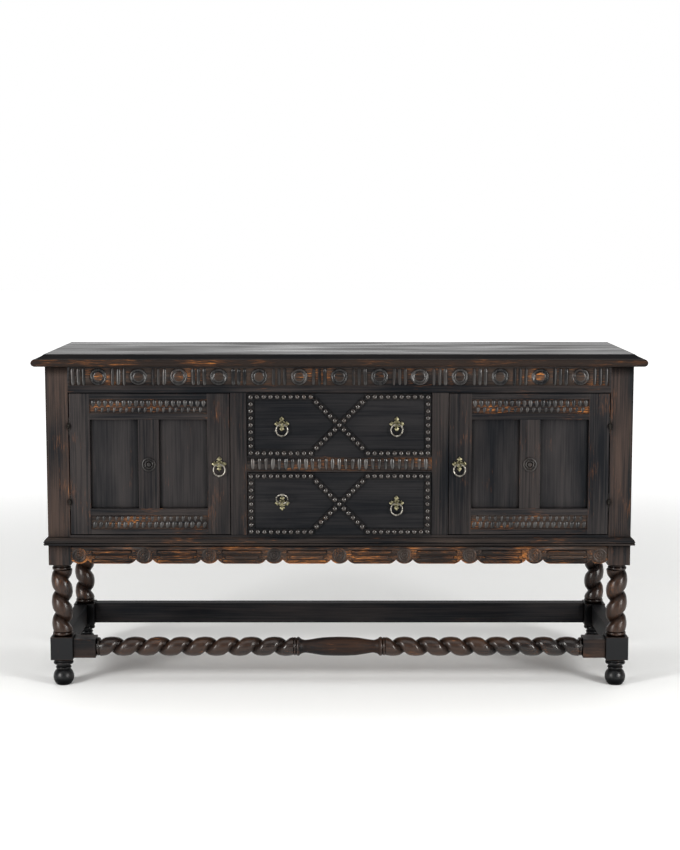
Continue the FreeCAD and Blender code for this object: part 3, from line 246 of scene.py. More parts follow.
# Per look: how brown the stain is, where it is rubbed through (lower is more), how far edges lose it, the
# wax's roughness, strength and unevenness, the share of fine streaks, the depth of the pores and the reach
# of the painted shade in its recesses in millimetres.
Look = namedtuple("Look", "brown rub edge rough wax uneven streak pore hollow")
OAK_LOOKS = {
    "frame": Look(0.45, 0.65, 0.05, 0.46, 0.16, 0.6, 0.55, 0.35, 9),
    "front": Look(0.45, 0.65, 0.05, 0.46, 0.16, 0.6, 0.55, 0.35, 9),
    "waist": Look(0.60, 0.64, 0.06, 0.46, 0.15, 0.6, 0.55, 0.30, 8),
    "panel": Look(0.30, 0.70, 0.04, 0.43, 0.17, 0.6, 0.40, 0.30, 26),
    "drawer": Look(0.14, 0.74, 0.03, 0.45, 0.12, 0.6, 0.50, 0.30, 14),
    "stand": Look(0.30, 0.70, 0.05, 0.58, 0.13, 0.5, 0.50, 0.35, 14),
    "top": Look(0.15, 0.72, 0.08, 0.355, 0.54, 0.70, 0.30, 0.45, 9),
    "leg": Look(0.38, 0.64, 0.03, 0.44, 0.22, 0.5, 0.45, 0.15, 34),
    "bar": Look(0.44, 0.64, 0.03, 0.42, 0.21, 0.5, 0.35, 0.12, 30),
    "bead": Look(0.10, 0.75, 0.00, 0.50, 0.12, 0.5, 0.40, 0.10, 7),
    "carved": Look(0.80, 0.55, 0.15, 0.44, 0.18, 0.5, 0.60, 0.35, 9),
    "relief": Look(0.22, 0.66, 0.05, 0.33, 0.47, 0.5, 0.40, 0.30, 8),
    "spindle": Look(0.40, 0.66, 0.05, 0.31, 0.80, 0.2, 0.40, 0.30, 7),
    "rosette": Look(0.75, 0.58, 0.12, 0.44, 0.20, 0.5, 0.40, 0.30, 8),
    "boss": Look(0.30, 0.66, 0.04, 0.42, 0.34, 0.5, 0.40, 0.30, 8),
    "ground": Look(0.75, 0.575, 0.06, 0.50, 0.12, 0.5, 0.50, 0.30, 9),
}
# Old wax has a faint blue bloom on the flat work, and none where hands and cloths rub it.
WAX_BLOOM = (0.84, 0.92, 1.0, 1.0)
CLEAR_WAX = (1.0, 0.985, 0.955, 1.0)
BLOOMING_LOOKS = ("frame", "front", "panel", "drawer", "stand")
# Turned work gets painted shade down its flanks, so it shows black there and brown only along its crowns,
# and slight hollows are shaded too. The painted shade is deepest where less than the first share of the
# view is open, and gone past the second.
TURNED_LOOKS = ("leg", "bar")
TURNED_HOLLOW = (0.68, 1.0)
PLAIN_HOLLOW = (0.35, 0.85)
# How far the roughness strays either way: far on the top, where the wax is worn matt in places.
WORN_MATT = 0.22
EVEN_MATT = 0.09
# Zones of a look that differ from the rest, between two places along an axis in metres: what is added to
# the brown, to the wear and to the roughness, and the strength of the wax there.
Zone = namedtuple("Zone", "axis low high brown wear rough wax")
ZONE_BLUR = 0.5 * MM
HANDLED = {
    "top": (
        Zone(UPRIGHT, 0.978, 1.0025, 0.28, 0.11, 0.10, 0.04),
        Zone(UPRIGHT, 1.0035, 1.0152, 0.0, 0.0, 0.15, 0.06),
    ),
    "leg": (
        Zone(UPRIGHT, -0.001, 0.081, -0.35, -0.03, -0.10, 0.30),
        Zone(UPRIGHT, 0.083, 0.151, -0.5, -0.05, 0.0, 0.19),
        Zone(UPRIGHT, 0.153, 0.372, 0.04, 0.01, -0.13, 0.32),
    ),
    "bar": (
        Zone(ACROSS, -0.741, 0.741, 0.06, 0.015, -0.11, 0.45),
        Zone(ACROSS, -0.125, 0.125, -0.09, 0.0, 0.16, 0.14),
    ),
    "bead": (Zone(DEEP, -0.260, -0.2482, 0.26, 0.08, -0.35, 0.75),),
}
# Half of a door's gap, and how far from its middle the painted shade beside it is full and where it ends.
HALF_DOOR_GAP = 0.75 * MM
GAP_SHADE_FULL = 1.3 * MM
GAP_SHADE_END = 2.1 * MM


def door_joints(grain):
    """Middles of the gaps above, below and, for upright wood, beside the doors: axis and place."""
    above = (UPRIGHT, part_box("frieze_rail")[0].z - HALF_DOOR_GAP)
    below = (UPRIGHT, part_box("base_rail")[1].z + HALF_DOOR_GAP)
    if grain != UPRIGHT:
        return (above, below)
    left = (ACROSS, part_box("left_mullion")[0].x - HALF_DOOR_GAP)
    right = (ACROSS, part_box("right_mullion")[1].x + HALF_DOOR_GAP)
    return (above, below, left, right)


def oak(look, grain):
    """Ebonised oak: black stain over brown heartwood under a satin wax. The stain wears thin along the
    grain and off the edges, so the eye sees black with brown streaks and orange-brown rub-through."""
    name = f"ebonised_oak_{look}_{GRAIN_NAMES[grain]}"
    if name in bpy.data.materials:
        return bpy.data.materials[name]
    finish = bpy.context.scene.buffet_finish
    wood = OAK_LOOKS[look]
    is_turned = look in TURNED_LOOKS
    material = new_material(name)
    tree = material.node_tree
    here = (add(tree, "TexCoord", {}, {}), "Object")
    # Growth streaks, drawn at 5 mm because real ones are too fine to show, in broad clouds.
    streak_map = add(tree, "Mapping", {}, {"Vector": here, "Scale": stretch(grain, 260, 5)})
    streaks = add(tree, "TexNoise", {}, {
        "Vector": streak_map, "Scale": 1.0, "Detail": 4.0, "Roughness": 0.65})
    cloud_map = add(tree, "Mapping", {}, {"Vector": here, "Scale": stretch(grain, 420, 85)})
    clouds = add(tree, "TexNoise", {}, {
        "Vector": cloud_map, "Scale": 1.0, "Detail": 3.0, "Roughness": 0.5})
    thin = add(tree, "Mix", {}, {0: wood.streak, 2: clouds, 3: streaks})
    # Torn strokes of about 34 by 2.6 mm, gathered in hand-wide patches, say where the stain is rubbed.
    stroke_map = add(tree, "Mapping", {}, {"Vector": here, "Scale": stretch(grain, 34, 2.6)})
    strokes = add(tree, "TexNoise", {}, {
        "Vector": stroke_map, "Scale": 1.0, "Detail": 3.0, "Roughness": 0.65})
    patch_map = add(tree, "Mapping", {}, {"Vector": here, "Scale": stretch(grain, 130, 60)})
    patches = add(tree, "TexNoise", {}, {"Vector": patch_map, "Scale": 1.0, "Detail": 1.0})
    worn = add(tree, "Mix", {}, {0: 0.45, 2: strokes, 3: patches})
    # Edges lose their stain first: a rounded normal that leaves the flat one marks them.
    rounded = add(tree, "Bevel", {"samples": 4}, {"Radius": 2.5 * MM})
    flat = (add(tree, "NewGeometry", {}, {}), "Normal")
    agree = add(tree, "VectorMath", {"operation": "DOT_PRODUCT"}, {0: rounded, 1: flat})
    arris = add(tree, "MapRange", {}, {
        "Value": (agree, "Value"), "From Min": 0.99, "From Max": 0.80, "To Max": wood.edge})
    worn = add(tree, "Math", {"operation": "ADD"}, {0: worn, 1: arris})
    # Painted shade darkens the recesses, where little of the view is open, and outlines every carved form;
    # the recesses are also rubbed less.
    hollow = (add(tree, "AmbientOcclusion", {"samples": 4}, {"Distance": wood.hollow * MM}), "AO")
    least, most = TURNED_HOLLOW if is_turned else PLAIN_HOLLOW
    unshaded = add(tree, "MapRange", {}, {
        "Value": hollow, "From Min": least, "From Max": most, "To Min": 0.12})
    if look == "front":
        # Painted shade darkens the wood beside the door gaps.
        for axis, place in door_joints(grain):
            gap_shade = add(tree, "MapRange", {}, {
                "Value": away_from(tree, here, axis, place), "From Min": GAP_SHADE_FULL,
                "From Max": GAP_SHADE_END, "To Min": 0.1})
            unshaded = add(tree, "Math", {"operation": "MULTIPLY"}, {0: unshaded, 1: gap_shade})
    sheltered = add(tree, "MapRange", {}, {"Value": unshaded, "To Min": -0.22, "To Max": 0.0})
    worn = add(tree, "Math", {"operation": "ADD"}, {0: worn, 1: sheltered})
    # The wax lies unevenly, so the sheen comes and goes with the streaks.
    matt = WORN_MATT if look == "top" else EVEN_MATT
    gloss = add(tree, "MapRange", {}, {
        "Value": thin, "From Min": 0.35, "From Max": 0.65,
        "To Min": wood.rough - matt, "To Max": wood.rough + matt})
    wax = add(tree, "MapRange", {}, {
        "Value": thin, "From Min": 0.40, "From Max": 0.60,
        "To Min": (1 - wood.uneven) * wood.wax, "To Max": (1 + wood.uneven) * wood.wax})
    stain = add(tree, "MapRange", {}, {
        "Value": thin, "From Min": 0.41, "From Max": 0.62, "To Max": wood.brown})
    for zone in HANDLED.get(look, ()):
        reach = (zone.high - zone.low) / 2
        handled = add(tree, "MapRange", {}, {
            "Value": away_from(tree, here, zone.axis, (zone.low + zone.high) / 2),
            "From Min": reach + ZONE_BLUR, "From Max": reach - ZONE_BLUR})
        worn = add(tree, "Math", {"operation": "MULTIPLY_ADD"}, {0: handled, 1: zone.wear, 2: worn})
        gloss = add(tree, "Math", {"operation": "MULTIPLY_ADD"}, {0: handled, 1: zone.rough, 2: gloss})
        stain = add(tree, "Math", {"operation": "MULTIPLY_ADD"}, {0: handled, 1: zone.brown, 2: stain})
        wax = add(tree, "MapRange", {}, {"Value": handled, "To Min": wax, "To Max": zone.wax})
    # The painted shade also dulls the wax's sheen in the recesses.
    wax = add(tree, "Math", {"operation": "MULTIPLY"}, {0: wax, 1: unshaded})
    # Black, then brown where the stain is thin, a halo of worn stain, bare oak, and painted shade over all.
    halo = add(tree, "MapRange", {"interpolation_type": "SMOOTHSTEP"}, {
        "Value": worn, "From Min": wood.rub - 0.08, "From Max": wood.rub + 0.04, "To Max": 0.8})
    bare = add(tree, "MapRange", {"interpolation_type": "SMOOTHSTEP"}, {
        "Value": worn, "From Min": wood.rub + 0.01, "From Max": wood.rub + 0.12})
    brown = finish.crown if is_turned else finish.brown
    colour = add(tree, "Mix", {"data_type": "RGBA"}, {0: stain, 6: opaque(finish.black), 7: opaque(brown)})
    colour = add(tree, "Mix", {"data_type": "RGBA"}, {0: halo, 6: colour, 7: opaque(finish.halo)})
    colour = add(tree, "Mix", {"data_type": "RGBA"}, {0: bare, 6: colour, 7: opaque(finish.rubbed)})
    colour = add(tree, "Mix", {"data_type": "RGBA", "blend_type": "MULTIPLY"}, {
        0: 1.0, 6: colour, 7: unshaded})
    # Open pores of oak, 1.6 mm apart.
    pore_map = add(tree, "Mapping", {}, {"Vector": here, "Scale": stretch(grain, 34, 1.6)})
    pores = add(tree, "TexNoise", {}, {"Vector": pore_map, "Scale": 1.0, "Detail": 2.0})
    relief = add(tree, "Math", {"operation": "ADD"}, {0: pores, 1: streaks})
    bump = add(tree, "Bump", {}, {"Height": relief, "Strength": wood.pore, "Distance": 0.35 * MM})
    shader = add(tree, "BsdfPrincipled", {}, {
        "Base Color": colour, "Roughness": gloss, "IOR": 1.48, "Specular IOR Level": wax,
        "Specular Tint": WAX_BLOOM if look in BLOOMING_LOOKS else CLEAR_WAX, "Normal": bump})
    add(tree, "OutputMaterial", {}, {"Surface": shader})
    return material


def inner_oak(grain):
    """Oiled oak, planed and left unstained: mid brown with darker pores and a low sheen."""
    name = f"oiled_oak_{GRAIN_NAMES[grain]}"
    if name in bpy.data.materials:
        return bpy.data.materials[name]
    finish = bpy.context.scene.buffet_finish
    material = new_material(name)
    tree = material.node_tree
    here = (add(tree, "TexCoord", {}, {}), "Object")
    # Growth streaks, drawn at 9 mm so that they show.
    streak_map = add(tree, "Mapping", {}, {"Vector": here, "Scale": stretch(grain, 300, 9)})
    streaks = add(tree, "TexNoise", {}, {
        "Vector": streak_map, "Scale": 1.0, "Detail": 5.0, "Roughness": 0.6})
    tone = add(tree, "MapRange", {}, {"Value": streaks, "From Min": 0.3, "From Max": 0.7})
    pale = opaque(finish.inner)
    dark = opaque([0.45 * part for part in finish.inner])
    colour = add(tree, "Mix", {"data_type": "RGBA"}, {0: tone, 6: dark, 7: pale})
    # Open pores, 1.5 mm apart.
    pore_map = add(tree, "Mapping", {}, {"Vector": here, "Scale": stretch(grain, 30, 1.5)})
    pores = add(tree, "TexNoise", {}, {"Vector": pore_map, "Scale": 1.0, "Detail": 2.0})
    gloss = add(tree, "MapRange", {}, {"Value": pores, "To Min": 0.5, "To Max": 0.7})
    bump = add(tree, "Bump", {}, {"Height": pores, "Strength": 0.3, "Distance": 0.3 * MM})
    shader = add(tree, "BsdfPrincipled", {}, {
        "Base Color": colour, "Roughness": gloss, "Normal": bump})
    add(tree, "OutputMaterial", {}, {"Surface": shader})
    return material


def aged_metal(name, bright, dark, rough):
    """Metal with an aged skin: bright where hands rub it, dull and dark in spots about 5 mm across."""
    if name in bpy.data.materials:
        return bpy.data.materials[name]
    material = new_material(name)
    tree = material.node_tree
    here = (add(tree, "TexCoord", {}, {}), "Object")
    spot_map = add(tree, "Mapping", {}, {"Vector": here, "Scale": stretch(ACROSS, 5, 5)})
    spots = add(tree, "TexNoise", {}, {"Vector": spot_map, "Scale": 1.0, "Detail": 3.0})
    tarnish = add(tree, "MapRange", {}, {"Value": spots, "From Min": 0.38, "From Max": 0.66})
    colour = add(tree, "Mix", {"data_type": "RGBA"}, {0: tarnish, 6: opaque(bright), 7: opaque(dark)})
    gloss = add(tree, "MapRange", {}, {"Value": spots, "To Min": rough, "To Max": rough + 0.2})
    bump = add(tree, "Bump", {}, {"Height": spots, "Strength": 0.25, "Distance": 0.2 * MM})
    shader = add(tree, "BsdfPrincipled", {}, {
        "Base Color": colour, "Metallic": 1.0, "Roughness": gloss, "Normal": bump})
    add(tree, "OutputMaterial", {}, {"Surface": shader})
    return material


def antique_brass():
    """Cast brass gone olive, with worn bright faces."""
    finish = bpy.context.scene.buffet_finish
    return aged_metal("antique_brass_cast", finish.brass, finish.patina, 0.28)


def ring_brass():
    """Drawn brass wire, greyer than the cast plates because fingers rub it bare."""
    finish = bpy.context.scene.buffet_finish
    return aged_metal("antique_brass_drawn", finish.ring, finish.ring_patina, 0.30)


def black_iron():
    """Wrought iron under black oil: near black, with a dull sheen."""
    finish = bpy.context.scene.buffet_finish
    return aged_metal("blackened_iron", finish.iron, [0.4 * part for part in finish.iron], 0.45)


def studio_paper(finish):
    """Matt white paper sweep with the faintest mottle, about 0.3 m across, and a painted glow."""
    material = new_material("white_paper_matt")
    tree = material.node_tree
    here = (add(tree, "TexCoord", {}, {}), "Object")
    mottle = add(tree, "TexNoise", {}, {"Vector": here, "Scale": 3.0, "Detail": 2.0})
    tone = add(tree, "MapRange", {}, {"Value": mottle, "To Min": 0.97, "To Max": 1.0})
    colour = add(tree, "Mix", {"data_type": "RGBA"}, {
        0: tone, 6: opaque([0.9 * part for part in finish.floor]), 7: opaque(finish.floor)})
    # The sheet has a painted glow, no lamp, that grows from 0.8 m out where it sweeps away behind and
    # beside the buffet. In front only the camera sees the glow, so that it does not shine into the wood.
    reach = (add(tree, "VectorMath", {"operation": "LENGTH"}, {0: here}), "Value")
    sweep = add(tree, "MapRange", {"interpolation_type": "SMOOTHSTEP"}, {
        "Value": reach, "From Min": 0.8, "From Max": 6.0})
    ahead = (add(tree, "SeparateXYZ", {}, {0: here}), "Y")
    behind = add(tree, "MapRange", {}, {"Value": ahead, "From Min": -3.2, "From Max": -2.2})
    seen = (add(tree, "LightPath", {}, {}), "Is Camera Ray")
    shown = add(tree, "Math", {"operation": "MAXIMUM"}, {0: behind, 1: seen})
    painted_glow = add(tree, "Math", {"operation": "MULTIPLY"}, {0: sweep, 1: shown})
    shader = add(tree, "BsdfPrincipled", {}, {
        "Base Color": colour, "Roughness": 0.8, "Emission Color": (1, 1, 1, 1), "Emission Strength": painted_glow})
    add(tree, "OutputMaterial", {}, {"Surface": shader})
    return material


def coat(node, material):
    """Gives a CAD part its finish."""
    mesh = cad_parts[node].data
    mesh.materials.clear()
    mesh.materials.append(material)


def finish_of(look, grain):
    """The wood material for a look."""
    return inner_oak(grain) if look == "inner" else oak(look, grain)


# Points of a CAD part within a weld are one, points of a new shape within a seam are one, and points
# within the slack of a plane lie in it.
WELD = 0.01 * MM
SEAM = 0.001 * MM
SLACK = 0.05 * MM
# Faces within the flat angle of each other are one, and sharper edges are shaded sharp or eased.
FLAT_ANGLE = math.radians(0.5)
SHARP_ANGLE = math.radians(38)
EASED_ANGLE = math.radians(50)
# A normal that points at least this far forward belongs to the front.
FORWARD = -0.99
# How a shape, turned upright, lies in a carving.
AS_TURNED = Matrix.Identity(4)
FACING_FRONT = Matrix.Rotation(math.pi / 2, 4, "X")
LYING = Matrix.Rotation(math.pi / 2, 4, "Y")


def mesh_of(name, bm):
    """A mesh from a finished bmesh."""
    mesh = bpy.data.meshes.new(name)
    bm.to_mesh(mesh)
    bm.free()
    return mesh


def new_object(name, data):
    """An object in the scene's collection."""
    made = bpy.data.objects.new(name, data)
    bpy.context.collection.objects.link(made)
    return made


def turned(name, profile, steps, heart=0):
    """A shape turned about Z from (radius, height) pairs in millimetres, as a mesh to set in. Faces
    nearer to the axis than the heart's radius take the piece's second finish."""
    bm = bmesh.new()
    line = [bm.verts.new((radius * MM, 0, height * MM)) for radius, height in profile]
    edges = [bm.edges.new(pair) for pair in zip(line, line[1:])]
    bmesh.ops.spin(
        bm, geom=line + edges, axis=(0, 0, 1), cent=(0, 0, 0), angle=math.tau, steps=steps, use_merge=True)
    bmesh.ops.remove_doubles(bm, verts=bm.verts, dist=SEAM)
    bmesh.ops.recalc_face_normals(bm, faces=bm.faces)
    for face in bm.faces:
        if face.calc_center_median().xy.length < heart * MM:
            face.material_index = 1
    return mesh_of(name, bm)


def set_in(bm, shape, place, turn=0.0, size=(1, 1, 1), way=AS_TURNED):
    """Adds a copy of a shape to a carving: its place, its turn in the face, its size and how it lies."""
    first = len(bm.verts)
    bm.from_mesh(shape)
    bm.verts.ensure_lookup_table()
    laid = Matrix.Rotation(turn, 4, "Y") @ way @ Matrix.Diagonal(size).to_4x4()
    bmesh.ops.transform(bm, matrix=Matrix.Translation(place) @ laid, verts=bm.verts[first:])


def lean(chance, spread):
    """A small hand-carved difference."""
    return chance.uniform(-spread, spread)


def set_by_hand(bm, shape, place, hand, chance, turn=0.0):
    """Sets in one shape of a row with the small differences that a chisel leaves."""
    spot = Vector(place) + Vector((lean(chance, hand.shift), 0, 0))
    size = (1 + lean(chance, hand.width), hand.flat, 1 + lean(chance, hand.height))
    set_in(bm, shape, spot, turn + lean(chance, hand.turn), size)


def plain_copy(node):
    """A merged copy of a CAD part with each flat face in one piece."""
    bm = bmesh.new()
    bm.from_mesh(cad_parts[node].data)
    bmesh.ops.remove_doubles(bm, verts=bm.verts, dist=WELD)
    bmesh.ops.dissolve_limit(bm, angle_limit=FLAT_ANGLE, verts=bm.verts, edges=bm.edges)
    return bm


def slide(bm, place, way):
    """Moves what lies in the plane across x at a place."""
    plane = [vert for vert in bm.verts if abs(vert.co.x - place) < SLACK]
    bmesh.ops.translate(bm, vec=way, verts=plane)


def looks_forward(face):
    """Whether a face is part of the front."""
    return face.normal.y < FORWARD


def sink_band(bm, low, high):
    """Sinks a carved band's ground into the front face between two corners (x, z)."""
    carving = bpy.context.scene.buffet_carving
    for axis, place in ((ACROSS, low[0]), (ACROSS, high[0]), (UPRIGHT, low[1]), (UPRIGHT, high[1])):
        front = [face for face in bm.faces if looks_forward(face)]
        near = set(front)
        for face in front:
            near.update(face.edges)
            near.update(face.verts)
        normal = Vector((0, 0, 0))
        normal[axis] = 1
        bmesh.ops.bisect_plane(bm, geom=list(near), dist=SEAM, plane_co=place * normal, plane_no=normal)
    ground = []
    for face in bm.faces:
        middle = face.calc_center_median()
        inside = low[0] < middle.x < high[0] and low[1] < middle.z < high[1]
        if looks_forward(face) and inside:
            ground.append(face)
            face.material_index = 1
    bmesh.ops.inset_region(bm, faces=ground, thickness=carving.band_margin, depth=-carving.ground_depth)


def piece(name, bm, body, *materials, slot="ebonised_oak"):
    """Makes a finished bmesh a piece that rides on a body."""
    mesh = mesh_of(name, bm)
    mesh.shade_smooth()
    mesh.set_sharp_from_angle(angle=SHARP_ANGLE)
    for material in materials:
        mesh.materials.append(material)
    made = new_object(name, mesh)
    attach(made, body)
    return made


def carve(node, bm, body, look, bands):
    """Sinks bands, each from a low to a high corner, into a copy of a board, which stands for the board."""
    for low, high in bands:
        sink_band(bm, low, high)
    made = piece(f"{node}_carved", bm, body, oak(look, ACROSS), oak("ground", ACROSS))
    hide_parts(node)
    return made


def planed(node, bm, body):
    """Makes a planed copy of an upright stand for it, with its edges eased."""
    made = piece(f"{node}_planed", bm, body, oak("front", UPRIGHT))
    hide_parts(node)
    ease(made)


def ease(part):
    """Rounds sharp edges a little, as wear does."""
    bevel = part.modifiers.new("ease", "BEVEL")
    bevel.width = bpy.context.scene.buffet_carving.easing
    bevel.segments = 2
    bevel.limit_method = "ANGLE"
    bevel.angle_limit = EASED_ANGLE
    bevel.harden_normals = True


def soften(node):
    """Rounds a CAD part's sharp edges with modifiers, without touching its mesh."""
    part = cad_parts[node]
    part.modifiers.new("weld", "WELD").merge_threshold = WELD
    flat = part.modifiers.new("flat", "DECIMATE")
    flat.decimate_type = "DISSOLVE"
    flat.angle_limit = FLAT_ANGLE
    ease(part)


# Turned shapes, (radius, height) in millimetres.
REED = ((0, -25.5), (3.0, -24.5), (4.7, -21.5), (5.2, -12), (5.2, 12), (4.7, 21.5), (3.0, 24.5), (0, 25.5))
SPINDLE = ((0, -18), (2.6, -16), (4.4, -10), (5.4, -1), (5.6, 7), (4.8, 14), (2.8, 17), (0, 18))
TONGUE = ((0, -11), (3.2, -8.5), (5.6, -3), (6.4, 3), (5.4, 7.5), (3.0, 10.2), (0, 11))
DROP = ((0, -9), (2.0, -7), (3.8, -2), (4.5, 3), (3.6, 6.5), (0, 9))
ROUNDEL = (
    (0, -2), (25.5, -2), (25.5, 0.8), (24.2, 2.2), (22.6, 2.6), (20.8, 2.1),
    (19.0, 0.5), (17.2, 0.4), (15.6, 1.6), (13.5, 2.2), (7, 2.3), (0, 2.4),
)
MUNTIN_ROUNDEL = (
    (0, -2), (21.5, -2), (21.3, 0.8), (20.2, 2.6), (18.6, 3.2), (17.0, 2.4), (15.8, 0.1), (14.2, 0.0),
    (13.0, 1.8), (11.4, 2.5), (9.8, 1.8), (8.8, 0.0), (7.4, 0.0), (6.2, 1.7), (0, 2.4),
)
ROSETTE = (
    (0, -2), (22.0, -2), (21.8, 0.6), (20.2, 1.6), (18.2, 1.8), (16.2, 1.2), (14.6, 0.1), (13.2, 0.1),
    (12.2, 1.2), (10.4, 1.9), (8.4, 1.5), (7.2, 0.3), (6.0, 0.4), (4.4, 2.0), (2.2, 2.6), (0, 2.7),
)
FOOT_RING = (
    (18, 63.5), (26.5, 63.5), (29.6, 65.4), (30.5, 68.3), (29.6, 71.2), (26.5, 73), (18, 73), (18, 63.5),
)
# A roll of radius and half length 1, sized in millimetres where it is set in.
ROLL = (
    (0, -1), (0.55, -0.985), (0.85, -0.95), (1, -0.85), (1, 0.85), (0.85, 0.95), (0.55, 0.985), (0, 1),
)
# Steps round small and large turned shapes.
FINE_STEPS = 8
WIDE_STEPS = 32
ROSETTE_STEPS = 28
# Inside these radii in millimetres a turned shape takes its second finish, a rosette all over.
ROUNDEL_HEART = 14
ROSETTE_HEART = 40

# How flat the shapes of a row are, and how far the chisel strays: sideways, in width, height and turn.
Hand = namedtuple("Hand", "flat shift width height turn")
REED_HAND = Hand(0.55, 0.8 * MM, 0.15, 0.03, 0.03)
SPINDLE_HAND = Hand(0.5, 0.8 * MM, 0.12, 0.05, 0.05)
TONGUE_HAND = Hand(0.45, 0.6 * MM, 0.08, 0.06, 0.06)
ROUNDEL_STRAY = 0.05

# Where the carving lies on the frieze and on the drawer rail.
FRIEZE_REACH = 806 * MM
FRIEZE_BOTTOM = 922 * MM
FRIEZE_TOP = 974 * MM
DRAWER_RAIL_REACH = 278 * MM
DRAWER_RAIL_EDGE = 4 * MM

# A door's hinge stile is planed from its blank by the trim.
STILE_BLANK = 68 * MM
STILE_TRIM = 7 * MM
MUNTIN_ROUNDEL_HEIGHT = 683.5 * MM
# Carved bands of the door rails, each with rows of a shape: its height, its offset in pitches, its slant.
DOOR_BAND_HALF = 175.5 * MM
Band = namedtuple("Band", "bottom top rows")
Row = namedtuple("Row", "shape height offset slant")
DOOR_BANDS = (
    Band(838 * MM, 881 * MM, (Row("tongue", 868 * MM, 0.0, 0.0), Row("drop", 848.5 * MM, 0.5, 0.18))),
    Band(486 * MM, 529 * MM, (Row("drop", 518.5 * MM, 0.5, 0.12), Row("tongue", 499.5 * MM, 0.0, 0.22))),
)
DOOR_ROWS = tuple(row for band in DOOR_BANDS for row in band.rows)

# The apron's sunk bays, the height of its rosettes, and the leaves on either side of a rosette: how far
# out, where the board ends, their rise in millimetres and their turn.
BAY_HALF = 62 * MM
BAY_BOTTOM = 383.5 * MM
BAY_TOP = 422 * MM
ROSETTE_HEIGHT = 406 * MM
APRON_LEAF_OFFSET = 29 * MM
APRON_HALF = 808 * MM
APRON_LEAVES = ((9, 0.9), (-7, 2.1))
APRON_LEAF_SIZE = (1, 0.5, 1)
# A roll between two ridges with a curl at each end: across, rise, radius and length in millimetres.
BAY_ROLLS = (
    (0, 10, 4.0, 118),
    (0, -6.5, 5.4, 104),
    (0, -18.5, 2.6, 118),
    (-57, -6.5, 4.2, 8.4),
    (57, -6.5, 4.2, 8.4),
)
# How flat a roll is, and how far it strays in rise in millimetres, in length and in turn.
ROLL_FLAT = 0.75
ROLL_RISE_STRAY = 0.6
ROLL_LENGTH_STRAY = 0.02
ROLL_TURN_STRAY = 0.012

# A pull plate's raised leaves: how far before the wood they start, how far they rise, their distance from
# the plate's middle, and the radius at foot and tip.
PULL_LEAF_SEAT = 2.4 * MM
PULL_LEAF_RISE = 2.4 * MM
PULL_LEAF_MIDDLE = 14.8 * MM
PULL_LEAF_FOOT = 7.6 * MM
PULL_LEAF_TIP = 0.5 * MM


def raise_leaves(name, body, middles, height):
    """Low pyramids on the four leaves of each pull plate."""
    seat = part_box("left_door_stiles")[0].y - PULL_LEAF_SEAT
    bm = bmesh.new()
    for middle in middles:
        for turn in range(4):
            place = (
                Matrix.Translation((middle, seat - PULL_LEAF_RISE / 2, height))
                @ Matrix.Rotation(turn * math.pi / 2, 4, "Y")
                @ Matrix.Translation((0, 0, PULL_LEAF_MIDDLE))
                @ FACING_FRONT
            )
            bmesh.ops.create_cone(
                bm, cap_ends=True, segments=4, radius1=PULL_LEAF_FOOT, radius2=PULL_LEAF_TIP,
                depth=PULL_LEAF_RISE, matrix=place)
    piece(name, bm, body, antique_brass(), slot="antique_brass")


class BUFFET_OT_case_finish(bpy.types.Operator):
    """Finishes the case's wood and iron"""

    bl_idname = "buffet.case_finish"
    bl_label = "Finish the case"

    def execute(self, context):
        for node, (look, grain) in CASE_WOOD.items():
            coat(node, finish_of(look, grain))
        for node in EASED_WOOD:
            soften(node)
        for node in CASE_IRON:
            coat(node, black_iron())
        return {"FINISHED"}


class BUFFET_OT_door_finish(bpy.types.Operator):
    """Finishes the doors' panels and iron"""

    bl_idname = "buffet.door_finish"
    bl_label = "Finish the doors"

    def execute(self, context):
        for side in SIDES:
            coat(f"{side}_door_panels", oak("panel", UPRIGHT))
            soften(f"{side}_door_panels")
            for part in DOOR_IRON:
                coat(f"{side}_door_{part}", black_iron())
        return {"FINISHED"}


class BUFFET_OT_drawer_finish(bpy.types.Operator):
    """Finishes the drawers' wood"""

    bl_idname = "buffet.drawer_finish"
    bl_label = "Finish the drawers"

    def execute(self, context):
        for level in LEVELS:
            for part, (look, grain) in DRAWER_WOOD.items():
                coat(f"{level}_drawer_{part}", finish_of(look, grain))
            soften(f"{level}_drawer_front")
        return {"FINISHED"}


class BUFFET_OT_pull_finish(bpy.types.Operator):
    """Finishes the brass plates and rings and raises the plates' leaves"""

    bl_idname = "buffet.pull_finish"
    bl_label = "Finish the pulls"

    def execute(self, context):
        for side in SIDES:
            door = f"{side}_door"
            coat(f"{door}_pull_plate", antique_brass())
            coat(f"{door}_pull_ring", ring_brass())
            low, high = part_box(f"{door}_pull_plate")
            middle = (low + high) / 2
            raise_leaves(f"{door}_pull_leaves", door, (middle.x,), middle.z)
        for level in LEVELS:
            drawer = f"{level}_drawer"
            coat(f"{drawer}_pull_plates", antique_brass())
            for side in SIDES:
                coat(f"{drawer}_{side}_ring", ring_brass())
            low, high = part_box(f"{drawer}_pull_plates")
            reach = (high.z - low.z) / 2
            raise_leaves(f"{drawer}_pull_leaves", drawer, (low.x + reach, high.x - reach), low.z + reach)
        return {"FINISHED"}


